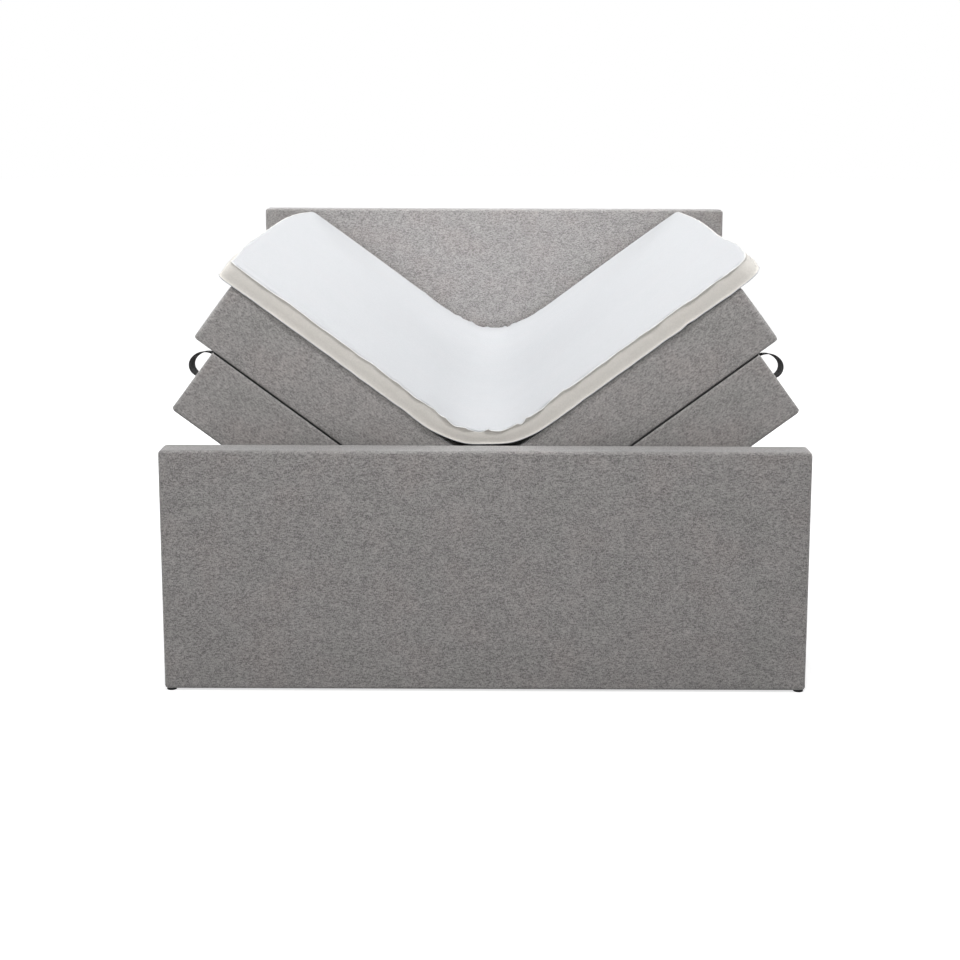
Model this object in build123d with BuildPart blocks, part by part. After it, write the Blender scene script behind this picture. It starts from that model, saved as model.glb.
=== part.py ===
from build123d import *
import math
import os

os.makedirs("parts", exist_ok=True)

# A storage bed for two, made in its open position: each half of the lying surface is an upholstered
# box-spring lid that turns outwards about a pivot at the foot and head ends.
# Millimetres: x across the bed, y from the foot end to the head end, z up from the floor.

# The whole bed
bed_length = 2000
open_angle = 36.7
seat_gap = 0.3
overrun = 5
SIDES = (("left", -1), ("right", 1))
ENDS = (("foot", -1), ("head", 1))

# Feet and the storage box
foot_height = 6
foot_radius = 14
box_width = 1800
rail_thickness = 18
rail_top = 304
rail_cover_thickness = 3
end_board_thickness = 18
divider_thickness = 18
corner_block_width = 40
batten_width = 70
batten_height = 20
batten_count = 5
floor_thickness = 8
sweep_clearance = 9
buffer_radius = 8
buffer_height = 7.7
buffer_count = 3
foot_inset = 55
board_foot_inset = 4

# Head board and foot board
board_width = 1840
board_thickness = 90
footboard_top = 704
headboard_top = 1240
board_gap = 20
board_edge_radius = 10
board_padding = 12
board_panel_thickness = 6
board_rail_width = 90
bed_rail_height = 171
headboard_middle_height = 686

# Bolts that hold the two boards on, and their spacers
bolt_radius = 4
bolt_head_radius = 9
bolt_head_height = 6
bolt_grip = 32
bolt_clearance = 0.3
spacer_radius = 17
bolt_x_shares = (-0.42, -0.2, 0.2, 0.42)

# Lids, as they lie when closed
lid_width = 900
lid_height = 205
lid_bottom = 312
lid_split = 4
lid_padding = 8
lid_corner_radius = 20
lid_edge_radius = 8
lid_crown = 1
lid_draw = 2
lid_cloth_thickness = 1.5
lid_board_thickness = 20
lid_slat_count = 6
lid_slat_width = 70
lid_slat_height = 20
lid_slat_lift = 12
lid_foam_thickness = 26
lid_core_inset = 8
spring_pocket = 82
spring_strip_gap = 1.5
pocket_overlap_share = 0.04

# Lid pivots
pivot_x = 163
pivot_height = 556
pivot_radius = 8
pivot_clearance = 0.1
pivot_head_radius = 13
pivot_head_height = 5
plate_thickness = 5
plate_gap = 1
plate_eye_radius = 24
plate_foot_width = 130
plate_overlap = 130
plate_stud_radius = 5
plate_stud_spacing = 84
plate_stud_lift = 34
bracket_width = 50
bracket_bottom = 96
bracket_boss_radius = 12
bracket_box_boss_heights = (136, 206)
bracket_board_boss_heights = (306, 466)
bracket_screw_radius = 3
bracket_screw_head_radius = 7
bracket_screw_head_height = 3

# Gas springs, foot and head ends of each lid
spring_base_x = 120
spring_base_height = 186
spring_lid_x = 440
spring_lid_drop = 20
spring_end_inset = 50
spring_eye_radius = 13
spring_eye_width = 16
spring_tube_radius = 11
spring_tube_length = 270
spring_tube_wall = 2
spring_tube_start = 20
spring_guide_length = 10
spring_rod_radius = 5
spring_rod_clearance = 0.3
spring_rod_engagement = 40
spring_piston_length = 12
spring_rod_eye_radius = 11
spring_stud_radius = 5
spring_stud_clearance = 0.1
spring_stud_head_radius = 8
spring_stud_head_height = 3
spring_head_clearance = 1
spring_plate_thickness = 3
spring_plate_width = 50
spring_plate_height = 60
spring_ear_width = 28
spring_flange_width = 70

# Webbing handles on the outer side of each lid, near the foot end
strap_width = 50
strap_thickness = 3
strap_top_drop = 15
strap_span = 77
strap_reach = 38
strap_reach_share = 0.6
strap_end_inset = 70
strap_tail = 2
clamp_thickness = 3
clamp_width = 70
clamp_height = 11

# Mattresses, as they lie when closed
mattress_split = 8
mattress_height = 185
mattress_crown = 8
mattress_draw = 3
mattress_corner_radius = 20
mattress_edge_radius = 8
mattress_end_gap = 1
mattress_slide = 70
mattress_border = 10
mattress_foam_thickness = 25

# Topper
topper_width = 1800
topper_thickness = 60
topper_bend_radius = 303
topper_corner_radius = 40
topper_edge_radius = 22
topper_cover_thickness = 5
topper_lift = 0.5

# Sizes that follow from the ones above
theta = math.radians(open_angle)
cos_open = math.cos(theta)
sin_open = math.sin(theta)
half_length = bed_length / 2
box_half = box_width / 2
rail_inner = box_half - rail_cover_thickness - rail_thickness
box_inner_y = half_length - end_board_thickness
batten_top = foot_height + batten_height
floor_top = batten_top + floor_thickness
board_face = half_length + board_gap
lid_inner = lid_split / 2
lid_outer = lid_inner + lid_width
lid_top = lid_bottom + lid_height
mattress_inner = mattress_split / 2
mattress_outer = box_half
mattress_bottom = lid_top + seat_gap
mattress_top = lid_top + mattress_height
topper_bottom = mattress_top + mattress_crown + topper_lift
topper_half = topper_width / 2

# The lid's lower inner corner sweeps closest to the floor when the lid is open
corner_arm_x = pivot_x - lid_inner
corner_arm_z = pivot_height - lid_bottom
corner_x = pivot_x - corner_arm_x * cos_open + corner_arm_z * sin_open
corner_z = pivot_height - corner_arm_x * sin_open - corner_arm_z * cos_open
sweep_bottom = pivot_height - math.hypot(corner_arm_x, corner_arm_z)
notch_top = sweep_bottom - sweep_clearance
notch_half = corner_x + (rail_top + sweep_clearance - corner_z) / math.tan(theta) + overrun


def carried_axes(side, held_x, held_z, moved_x, moved_z):
    """Axes of one closed half of the bed, turned open: x outwards, z up as when it is closed.

    The point held_x, held_z of the closed half comes to moved_x, moved_z.
    """
    outward = Vector(side * cos_open, 0, sin_open)
    upward = Vector(-side * sin_open, 0, cos_open)
    origin = Vector(side * moved_x, 0, moved_z) - outward * held_x - upward * held_z
    return Plane(origin=origin, x_dir=outward, z_dir=upward)


def lid_axes(side):
    """The lid turns about its pivot."""
    return carried_axes(side, pivot_x, pivot_height, pivot_x, pivot_height)


def mattress_axes(side):
    """The mattress turns with the lid and slides outwards on it."""
    slid_x = pivot_x + mattress_slide * cos_open
    slid_z = pivot_height + mattress_slide * sin_open
    return carried_axes(side, pivot_x, pivot_height, slid_x, slid_z)


def upright(axes):
    """The plane of the x and z axes of axes, to draw a side view on."""
    return Plane(axes.location * Plane.XZ.location)


def block(x, y, z, mode=Mode.ADD):
    """A block between two limits along each axis, in the part being built."""
    with Locations(((x[0] + x[1]) / 2, (y[0] + y[1]) / 2, (z[0] + z[1]) / 2)):
        Box(x[1] - x[0], y[1] - y[0], z[1] - z[0], mode=mode)


def round_x(x, y, z, radius, mode=Mode.ADD):
    """A round bar along x between two limits."""
    with Locations(Location(((x[0] + x[1]) / 2, y, z), (0, 90, 0))):
        Cylinder(radius, x[1] - x[0], mode=mode)


def round_y(x, y, z, radius, mode=Mode.ADD):
    """A round bar along y between two limits, given in either order."""
    with Locations(Location((x, (y[0] + y[1]) / 2, z), (90, 0, 0))):
        Cylinder(radius, abs(y[1] - y[0]), mode=mode)


def between(low, high, count):
    """Evenly spaced places from low to high."""
    return [low + (high - low) * i / (count - 1) for i in range(count)]


def padded_form(axes, x, half_y, z, crown, draw, corner_radius, edge_radius):
    """A padded block: crowned on top, with sides that draw in between rounded corners."""
    middle = (x[0] + x[1]) / 2
    rise = crown / 2
    crown_radius = (half_y**2 + rise**2) / crown
    half_turn = math.degrees(math.asin(half_y / crown_radius))
    with BuildPart() as form:
        with BuildSketch(upright(axes)):
            with BuildLine():
                Polyline(
                    (x[0], z[1] + rise),
                    (x[0], z[0] - crown - overrun),
                    (x[1], z[0] - crown - overrun),
                    (x[1], z[1] + rise),
                )
                ThreePointArc((x[1], z[1] + rise), (middle, z[1] + crown), (x[0], z[1] + rise))
            make_face()
        crown_centre = axes.from_local_coords(Vector(0, 0, z[1] + rise - crown_radius))
        revolve(axis=Axis(crown_centre, axes.x_dir), revolution_arc=half_turn * 1.02)
        mirror(about=upright(axes))
        with BuildSketch(axes.offset(z[0])):
            with BuildLine():
                ThreePointArc((x[0], -half_y), (middle, -half_y + draw), (x[1], -half_y))
                ThreePointArc((x[1], -half_y), (x[1] - draw, 0), (x[1], half_y))
                ThreePointArc((x[1], half_y), (middle, half_y - draw), (x[0], half_y))
                ThreePointArc((x[0], half_y), (x[0] + draw, 0), (x[0], -half_y))
            make_face()
            fillet(vertices(), corner_radius)
        extrude(amount=z[1] - z[0] + crown + overrun, mode=Mode.INTERSECT)
        levels = faces().sort_by(Axis(axes.origin, axes.z_dir))
        fillet(levels[0].edges() + levels[-1].edges(), edge_radius)
    return form.part


def spring_strips(axes, x, half_y, z):
    """Rows of fabric-wrapped pocket springs, one scalloped strip beside the next."""
    strip_count = int((x[1] - x[0]) // spring_pocket)
    strip_pitch = (x[1] - x[0]) / strip_count
    pocket_radius = (strip_pitch - spring_strip_gap) / 2
    pocket_pitch = 2 * pocket_radius * (1 - pocket_overlap_share)
    pocket_count = int((2 * (half_y - pocket_radius)) // pocket_pitch) + 1
    middle = (x[0] + x[1]) / 2
    with BuildPart() as strips:
        with BuildSketch(axes.offset(z[0])):
            with Locations((middle, 0)):
                with GridLocations(strip_pitch, pocket_pitch, strip_count, pocket_count):
                    Circle(pocket_radius)
        extrude(amount=z[1] - z[0])
    return strips.part


# Feet: round glides under the battens of the box and under the two boards
batten_ys = between(-box_inner_y + batten_width / 2, box_inner_y - batten_width / 2, batten_count)
foot_xs = (-rail_inner + foot_inset, 0, rail_inner - foot_inset)
board_foot_edge = foot_radius + board_foot_inset
board_foot_x = board_width / 2 - board_foot_edge
board_foot_ys = (board_face + board_foot_edge, board_face + board_thickness - board_foot_edge)
with BuildPart(Plane.XY) as feet:
    with Locations(*[(x, y, foot_height / 2) for x in foot_xs for y in batten_ys]):
        Cylinder(foot_radius, foot_height)
    board_foot_places = [(a * board_foot_x, b * y) for a in (-1, 1) for b in (-1, 1) for y in board_foot_ys]
    with Locations(*[(x, y, foot_height / 2) for x, y in board_foot_places]):
        Cylinder(foot_radius, foot_height)
feet.part.label = "feet"
export_step(feet.part, "parts/feet.step")

# Battens carry the floor panels from rail to rail
with BuildPart() as floor_battens:
    for batten_y in batten_ys:
        block(
            (-rail_inner, rail_inner),
            (batten_y - batten_width / 2, batten_y + batten_width / 2),
            (foot_height, batten_top),
        )
floor_battens.part.label = "floor_battens"
export_step(floor_battens.part, "parts/floor_battens.step")

# Centre divider between the two storage halves, low enough for the lids to swing over it
with BuildPart() as centre_divider:
    block(
        (-divider_thickness / 2, divider_thickness / 2),
        (-box_inner_y, box_inner_y),
        (batten_top, notch_top),
    )
centre_divider.part.label = "centre_divider"
export_step(centre_divider.part, "parts/centre_divider.step")

# Corner blocks join the rails to the end boards
with BuildPart() as corner_blocks:
    for a in (-1, 1):
        for b in (-1, 1):
            block(
                sorted((a * rail_inner, a * (rail_inner - corner_block_width))),
                sorted((b * box_inner_y, b * (box_inner_y - corner_block_width))),
                (floor_top, rail_top - corner_block_width),
            )
corner_blocks.part.label = "corner_blocks"
export_step(corner_blocks.part, "parts/corner_blocks.step")

bolt_xs = [share * board_width for share in bolt_x_shares]
bolt_start = box_inner_y
bolt_end = board_face + board_padding + board_panel_thickness + bolt_grip


def drill_for_bolts(end):
    """Cuts the holes of one end's board bolts from the part being built."""
    for bolt_x in bolt_xs:
        ends = (end * (bolt_start - overrun), end * (bolt_end + seat_gap))
        round_y(bolt_x, ends, bed_rail_height, bolt_radius + bolt_clearance, Mode.SUBTRACT)


def drill_for_bracket_screws(end, heights, limits):
    """Cuts the screw holes of one end's two pivot brackets."""
    for a in (-1, 1):
        for height in heights:
            ends = (end * limits[0], end * limits[1])
            hole_radius = bracket_screw_radius + bolt_clearance
            round_y(a * pivot_x, ends, height, hole_radius, Mode.SUBTRACT)


# End boards close the box; their middle is cut down under the swinging lids
for end_name, end in ENDS:
    with BuildPart() as end_board:
        with BuildSketch(Plane.XZ.offset(-end * half_length)):
            with BuildLine():
                Polyline(
                    (-rail_inner, foot_height),
                    (rail_inner, foot_height),
                    (rail_inner, rail_top),
                    (notch_half, rail_top),
                    (notch_half, notch_top),
                    (-notch_half, notch_top),
                    (-notch_half, rail_top),
                    (-rail_inner, rail_top),
                    close=True,
                )
            make_face()
        extrude(amount=end * end_board_thickness)
        drill_for_bolts(end)
        screw_limits = (box_inner_y - overrun, half_length + overrun)
        drill_for_bracket_screws(end, bracket_box_boss_heights, screw_limits)
    end_board.part.label = f"end_board_{end_name}"
    export_step(end_board.part, f"parts/end_board_{end_name}.step")

# Board bolts run from inside the box through a spacer into the head or foot board
with BuildPart() as board_bolts:
    for end_name, end in ENDS:
        for bolt_x in bolt_xs:
            round_y(bolt_x, (end * (bolt_start - bolt_head_height), end * bolt_start),
                    bed_rail_height, bolt_head_radius)
            round_y(bolt_x, (end * bolt_start, end * bolt_end), bed_rail_height, bolt_radius)
board_bolts.part.label = "board_bolts"
export_step(board_bolts.part, "parts/board_bolts.step")

with BuildPart() as board_spacers:
    for end_name, end in ENDS:
        for bolt_x in bolt_xs:
            round_y(bolt_x, (end * half_length, end * board_face), bed_rail_height, spacer_radius)
        drill_for_bolts(end)
board_spacers.part.label = "board_spacers"
export_step(board_spacers.part, "parts/board_spacers.step")

# Head board and foot board: a wooden frame, a thin panel on each face and a padded cover over it
BOARDS = (
    ("footboard", -1, footboard_top, ()),
    ("headboard", 1, headboard_top, (headboard_middle_height,)),
)
core_half = board_width / 2 - board_padding
frame_front = board_face + board_padding + board_panel_thickness
frame_back = board_face + board_thickness - board_padding - board_panel_thickness
for board_name, end, board_top, extra_rails in BOARDS:
    core_top = board_top - board_padding
    with BuildPart() as cover:
        block(
            (-board_width / 2, board_width / 2),
            sorted((end * board_face, end * (board_face + board_thickness))),
            (foot_height, board_top),
        )
        fillet(edges().filter_by(Axis.Z) + faces().sort_by(Axis.Z)[-1].edges(), board_edge_radius)
        block(
            (-core_half, core_half),
            sorted((end * (frame_front - board_panel_thickness),
                    end * (frame_back + board_panel_thickness))),
            (foot_height - overrun, core_top),
            Mode.SUBTRACT,
        )
        drill_for_bolts(end)
    cover.part.label = f"{board_name}_cover"
    export_step(cover.part, f"parts/{board_name}_cover.step")

    with BuildPart() as panels:
        for face_y, depth in ((frame_front, -board_panel_thickness), (frame_back, board_panel_thickness)):
            block(
                (-core_half + seat_gap, core_half - seat_gap),
                sorted((end * face_y, end * (face_y + depth))),
                (foot_height, core_top - seat_gap),
            )
        drill_for_bolts(end)
    panels.part.label = f"{board_name}_panels"
    export_step(panels.part, f"parts/{board_name}_panels.step")

    stile_inner = core_half - board_rail_width
    rail_heights = (
        foot_height + board_rail_width / 2,
        bed_rail_height,
        *extra_rails,
        core_top - seat_gap - board_rail_width / 2,
    )
    with BuildPart() as frame:
        frame_y = sorted((end * frame_front, end * frame_back))
        for a in (-1, 1):
            stile_x = sorted((a * stile_inner, a * (core_half - seat_gap)))
            block(stile_x, frame_y, (foot_height, core_top - seat_gap))
        for rail_middle in rail_heights:
            rail_z = (rail_middle - board_rail_width / 2, rail_middle + board_rail_width / 2)
            block((-stile_inner + seat_gap, stile_inner - seat_gap), frame_y, rail_z)
        drill_for_bolts(end)
    frame.part.label = f"{board_name}_frame"
    export_step(frame.part, f"parts/{board_name}_frame.step")

# Pivot brackets stand in the gap between the box and the two boards
bracket_inner = half_length + plate_thickness + plate_gap
bracket_outer = bracket_inner + plate_thickness
with BuildPart() as pivot_brackets:
    for end_name, end in ENDS:
        bracket_y = sorted((end * bracket_inner, end * bracket_outer))
        for a in (-1, 1):
            block(
                (a * pivot_x - bracket_width / 2, a * pivot_x + bracket_width / 2),
                bracket_y,
                (bracket_bottom, pivot_height),
            )
            round_y(a * pivot_x, bracket_y, pivot_height, bracket_width / 2)
            for height in bracket_box_boss_heights:
                boss_y = (end * half_length, end * bracket_inner)
                round_y(a * pivot_x, boss_y, height, bracket_boss_radius)
            for height in bracket_board_boss_heights:
                boss_y = (end * bracket_outer, end * board_face)
                round_y(a * pivot_x, boss_y, height, bracket_boss_radius)
            hole_y = (end * (bracket_inner - overrun), end * (bracket_outer + overrun))
            round_y(a * pivot_x, hole_y, pivot_height, pivot_radius + pivot_clearance, Mode.SUBTRACT)
        screw_limits = (half_length - overrun, bracket_outer + overrun)
        drill_for_bracket_screws(end, bracket_box_boss_heights, screw_limits)
pivot_brackets.part.label = "pivot_brackets"
export_step(pivot_brackets.part, "parts/pivot_brackets.step")

with BuildPart() as bracket_screws:
    for end_name, end in ENDS:
        for a in (-1, 1):
            for height in bracket_box_boss_heights:
                head_y = (end * (box_inner_y - bracket_screw_head_height), end * box_inner_y)
                round_y(a * pivot_x, head_y, height, bracket_screw_head_radius)
                shank_y = (end * box_inner_y, end * bracket_outer)
                round_y(a * pivot_x, shank_y, height, bracket_screw_radius)
bracket_screws.part.label = "bracket_screws"
export_step(bracket_screws.part, "parts/bracket_screws.step")

# Pivot pins: the lid plates turn on them
with BuildPart() as pivot_pins:
    for end_name, end in ENDS:
        for a in (-1, 1):
            shank_y = (end * (half_length + seat_gap), end * (bracket_outer + seat_gap))
            round_y(a * pivot_x, shank_y, pivot_height, pivot_radius)
            head_y = (end * (bracket_outer + seat_gap),
                      end * (bracket_outer + seat_gap + pivot_head_height))
            round_y(a * pivot_x, head_y, pivot_height, pivot_head_radius)
pivot_pins.part.label = "pivot_pins"
export_step(pivot_pins.part, "parts/pivot_pins.step")

# Base ends of the gas springs: a plate on the end board with a stud
spring_y = half_length - spring_end_inset
eye_inner = spring_y - spring_eye_width / 2
eye_outer = spring_y + spring_eye_width / 2
with BuildPart() as gas_spring_studs:
    for end_name, end in ENDS:
        for a in (-1, 1):
            stud_x = a * spring_base_x
            plate_inner = box_inner_y - spring_plate_thickness
            block(
                (stud_x - spring_plate_width / 2, stud_x + spring_plate_width / 2),
                sorted((end * plate_inner, end * box_inner_y)),
                (spring_base_height - spring_plate_height / 2,
                 spring_base_height + spring_plate_height / 2),
            )
            stud_inner = eye_inner - seat_gap
            round_y(stud_x, (end * stud_inner, end * plate_inner), spring_base_height, spring_stud_radius)
            head_y = (end * (stud_inner - spring_stud_head_height), end * stud_inner)
            round_y(stud_x, head_y, spring_base_height, spring_stud_head_radius)
gas_spring_studs.part.label = "gas_spring_studs"
export_step(gas_spring_studs.part, "parts/gas_spring_studs.step")

# Rubber buffers on the side rails, under the closed lids
with BuildPart() as lid_buffers:
    buffer_x = (rail_inner + box_half) / 2
    buffer_ys = between(-box_inner_y + foot_inset, box_inner_y - foot_inset, buffer_count)
    with Locations(*[(a * buffer_x, y, rail_top + buffer_height / 2) for a in (-1, 1) for y in buffer_ys]):
        Cylinder(buffer_radius, buffer_height)
lid_buffers.part.label = "lid_buffers"
export_step(lid_buffers.part, "parts/lid_buffers.step")

# Places that the lid's parts share, in the closed lid's own axes
board_low_x = lid_inner + lid_padding + seat_gap
board_high_x = lid_outer - lid_padding - seat_gap
board_end_y = half_length - lid_padding - seat_gap
inner_low_x = board_low_x + lid_board_thickness
inner_high_x = board_high_x - lid_board_thickness
inner_end_y = board_end_y - lid_board_thickness
frame_low_z = lid_bottom + lid_cloth_thickness + seat_gap
frame_high_z = lid_top - lid_padding - seat_gap
slat_low_z = frame_low_z + lid_slat_lift
slat_high_z = slat_low_z + lid_slat_height
foam_low_z = frame_high_z - lid_foam_thickness
strap_high_z = lid_top - strap_top_drop
strap_low_z = strap_high_z - strap_span
strap_middle_y = half_length - strap_end_inset
plate_foot_z = lid_top - plate_overlap
plate_stud_z = plate_foot_z + plate_stud_lift

# The gas spring's own line, from its base stud to its lid stud
lid_stud_z = lid_bottom - spring_lid_drop


def lid_stud_place(side, turn):
    """Where the lid's gas spring stud stands when the lid is turned open by turn radians."""
    arm_x = spring_lid_x - pivot_x
    arm_z = lid_stud_z - pivot_height
    x = pivot_x + arm_x * math.cos(turn) - arm_z * math.sin(turn)
    z = pivot_height + arm_x * math.sin(turn) + arm_z * math.cos(turn)
    return Vector(side * x, 0, z)


def spring_line(side, turn):
    """The gas spring from its base stud to its lid stud, as a vector."""
    return lid_stud_place(side, turn) - Vector(side * spring_base_x, 0, spring_base_height)


open_length = spring_line(1, theta).length
closed_length = spring_line(1, 0).length
spring_turn = spring_line(1, theta).get_angle(spring_line(1, 0))

# Side rails of the storage box, each with a thin padded cover over its outer face and top
wood_outer = box_half - rail_cover_thickness
wood_top = rail_top - rail_cover_thickness
rail_half_length = board_face - seat_gap
for side_name, side in SIDES:
    with BuildPart() as side_rail:
        block(
            sorted((side * rail_inner, side * wood_outer)),
            (-rail_half_length, rail_half_length),
            (foot_height, wood_top),
        )
    side_rail.part.label = f"side_rail_{side_name}"
    export_step(side_rail.part, f"parts/side_rail_{side_name}.step")

with BuildPart() as side_rail_covers:
    for side_name, side in SIDES:
        block(
            sorted((side * rail_inner, side * box_half)),
            (-rail_half_length, rail_half_length),
            (foot_height, rail_top),
        )
        block(
            sorted((side * (rail_inner - overrun), side * wood_outer)),
            (-board_face, board_face),
            (foot_height - overrun, wood_top),
            Mode.SUBTRACT,
        )
side_rail_covers.part.label = "side_rail_covers"
export_step(side_rail_covers.part, "parts/side_rail_covers.step")

# Floors of the two storage halves
with BuildPart() as floor_panels:
    for side_name, side in SIDES:
        block(
            sorted((side * divider_thickness / 2, side * rail_inner)),
            (-box_inner_y, box_inner_y),
            (batten_top, floor_top),
        )
floor_panels.part.label = "floor_panels"
export_step(floor_panels.part, "parts/floor_panels.step")

for side_name, side in SIDES:
    # Lid cover: padded fabric over the top and the four sides of the lid
    axes = lid_axes(side)
    foot_y = -side * strap_middle_y
    strap_y = (foot_y - strap_width / 2, foot_y + strap_width / 2)
    slot_y = (strap_y[0] - seat_gap, strap_y[1] + seat_gap)

    def cut_strap_slots(x):
        """Cuts the two slots for the handle's ends from the part being built."""
        for slot_z in (strap_low_z, strap_high_z):
            half_slot = strap_thickness / 2 + seat_gap
            block(x, slot_y, (slot_z - half_slot, slot_z + half_slot), Mode.SUBTRACT)

    def cut_plate_stud_holes():
        """Cuts the holes for the pivot plates' studs from the part being built."""
        for end_name, end in ENDS:
            for a in (-1, 1):
                stud_x = pivot_x + a * plate_stud_spacing / 2
                hole_y = (end * (inner_end_y - overrun), end * (half_length + overrun))
                hole_radius = plate_stud_radius + seat_gap
                round_y(stud_x, hole_y, plate_stud_z, hole_radius, Mode.SUBTRACT)

    lid_form = padded_form(axes, (lid_inner, lid_outer), half_length, (lid_bottom, lid_top - lid_crown),
                           lid_crown, lid_draw, lid_corner_radius, lid_edge_radius)
    with BuildPart(axes) as lid_cover:
        add(axes.location.inverse() * lid_form)
        block(
            (lid_inner + lid_padding, lid_outer - lid_padding),
            (-half_length + lid_padding, half_length - lid_padding),
            (lid_bottom - overrun, lid_top - lid_padding),
            Mode.SUBTRACT,
        )
        cut_strap_slots((board_high_x - overrun, lid_outer + overrun))
        cut_plate_stud_holes()
    lid_cover.part.label = f"lid_cover_{side_name}"
    export_step(lid_cover.part, f"parts/lid_cover_{side_name}.step")

    # Lid frame: two long boards and two end boards
    with BuildPart(axes) as lid_frame:
        frame_z = (frame_low_z, frame_high_z)
        block((board_low_x, inner_low_x), (-board_end_y, board_end_y), frame_z)
        block((inner_high_x, board_high_x), (-board_end_y, board_end_y), frame_z)
        for end_name, end in ENDS:
            end_y = sorted((end * inner_end_y, end * board_end_y))
            block((inner_low_x + seat_gap, inner_high_x - seat_gap), end_y, frame_z)
        cut_strap_slots((inner_high_x - overrun, board_high_x + overrun))
        cut_plate_stud_holes()
    lid_frame.part.label = f"lid_frame_{side_name}"
    export_step(lid_frame.part, f"parts/lid_frame_{side_name}.step")

    # Cross slats carry the pocket springs
    with BuildPart(axes) as lid_slats:
        slat_end = inner_end_y - lid_slat_width / 2 - seat_gap
        for slat_y in between(-slat_end, slat_end, lid_slat_count):
            block(
                (inner_low_x, inner_high_x),
                (slat_y - lid_slat_width / 2, slat_y + lid_slat_width / 2),
                (slat_low_z, slat_high_z),
            )
    lid_slats.part.label = f"lid_slats_{side_name}"
    export_step(lid_slats.part, f"parts/lid_slats_{side_name}.step")

    # Pocket springs in the lid
    lid_springs = spring_strips(
        axes,
        (inner_low_x + lid_core_inset, inner_high_x - lid_core_inset),
        inner_end_y - lid_core_inset,
        (slat_high_z + seat_gap, foam_low_z - seat_gap),
    )
    lid_springs.label = f"lid_springs_{side_name}"
    export_step(lid_springs, f"parts/lid_springs_{side_name}.step")

    # Foam sheet over the lid's springs
    with BuildPart(axes) as lid_foam:
        block(
            (inner_low_x + lid_core_inset, inner_high_x - lid_core_inset),
            (-inner_end_y + lid_core_inset, inner_end_y - lid_core_inset),
            (foam_low_z, frame_high_z),
        )
    lid_foam.part.label = f"lid_foam_{side_name}"
    export_step(lid_foam.part, f"parts/lid_foam_{side_name}.step")

    # Dust cloth stapled under the lid
    with BuildPart(axes) as lid_cloth:
        block(
            (board_low_x, board_high_x),
            (-board_end_y, board_end_y),
            (lid_bottom, lid_bottom + lid_cloth_thickness),
        )
    lid_cloth.part.label = f"lid_cloth_{side_name}"
    export_step(lid_cloth.part, f"parts/lid_cloth_{side_name}.step")

    # Pivot plates on the lid's two end faces
    with BuildPart(axes) as lid_pivot_plates:
        with BuildSketch(upright(axes)) as plate_face:
            with BuildLine():
                Polyline(
                    (pivot_x - plate_foot_width / 2, plate_foot_z),
                    (pivot_x + plate_foot_width / 2, plate_foot_z),
                    (pivot_x + plate_eye_radius, pivot_height),
                    (pivot_x - plate_eye_radius, pivot_height),
                    close=True,
                )
            make_face()
            with Locations((pivot_x, pivot_height)):
                Circle(plate_eye_radius)
                Circle(pivot_radius + pivot_clearance, mode=Mode.SUBTRACT)
        extrude(amount=half_length + plate_thickness, both=True)
        block(
            (lid_inner, lid_outer),
            (-half_length, half_length),
            (plate_foot_z - overrun, pivot_height + plate_eye_radius + overrun),
            Mode.SUBTRACT,
        )
        for end_name, end in ENDS:
            for a in (-1, 1):
                stud_y = (end * inner_end_y, end * half_length)
                round_y(pivot_x + a * plate_stud_spacing / 2, stud_y, plate_stud_z, plate_stud_radius)
    lid_pivot_plates.part.label = f"lid_pivot_plates_{side_name}"
    export_step(lid_pivot_plates.part, f"parts/lid_pivot_plates_{side_name}.step")

    # Gas spring brackets under the lid; their studs end just short of the rod eyes
    with BuildPart(axes) as gas_spring_brackets:
        ear_low_z = lid_stud_z - spring_ear_width / 2
        flange_low_z = lid_bottom - spring_plate_thickness
        ear_inner = eye_outer + spring_plate_thickness + seat_gap
        for end_name, end in ENDS:
            block(
                (spring_lid_x - spring_flange_width / 2, spring_lid_x + spring_flange_width / 2),
                sorted((end * eye_inner, end * board_end_y)),
                (flange_low_z, lid_bottom),
            )
            block(
                (spring_lid_x - spring_ear_width / 2, spring_lid_x + spring_ear_width / 2),
                sorted((end * ear_inner, end * (ear_inner + spring_plate_thickness))),
                (ear_low_z, flange_low_z),
            )
            stud_y = (end * (eye_outer + seat_gap), end * ear_inner)
            round_y(spring_lid_x, stud_y, lid_stud_z, spring_stud_radius)
    gas_spring_brackets.part.label = f"gas_spring_brackets_{side_name}"
    export_step(gas_spring_brackets.part, f"parts/gas_spring_brackets_{side_name}.step")

    # Webbing handle: a loop that stands off the lid's outer side
    with BuildPart(axes) as lid_handle:
        with BuildSketch(upright(axes).offset(-foot_y)):
            with BuildLine():
                reach_z = strap_high_z - strap_reach_share * strap_span
                half_strap = strap_thickness / 2
                outer_top = (lid_outer, strap_high_z + half_strap)
                inner_top = (lid_outer, strap_high_z - half_strap)
                outer_low = (lid_outer, strap_low_z - half_strap)
                inner_low = (lid_outer, strap_low_z + half_strap)
                outer_reach = (lid_outer + strap_reach, reach_z)
                inner_reach = (lid_outer + strap_reach - strap_thickness, reach_z)
                TangentArc(outer_reach, outer_top, tangent=(0, 1))
                TangentArc(outer_reach, outer_low, tangent=(0, -1))
                TangentArc(inner_reach, inner_top, tangent=(0, 1))
                TangentArc(inner_reach, inner_low, tangent=(0, -1))
                Line(outer_top, inner_top)
                Line(outer_low, inner_low)
            make_face()
        extrude(amount=strap_width / 2, both=True)
        for tail_z in (strap_low_z, strap_high_z):
            block(
                (inner_high_x - clamp_thickness - strap_tail, lid_outer + half_strap),
                strap_y,
                (tail_z - half_strap, tail_z + half_strap),
            )
    lid_handle.part.label = f"lid_handle_{side_name}"
    export_step(lid_handle.part, f"parts/lid_handle_{side_name}.step")

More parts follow.
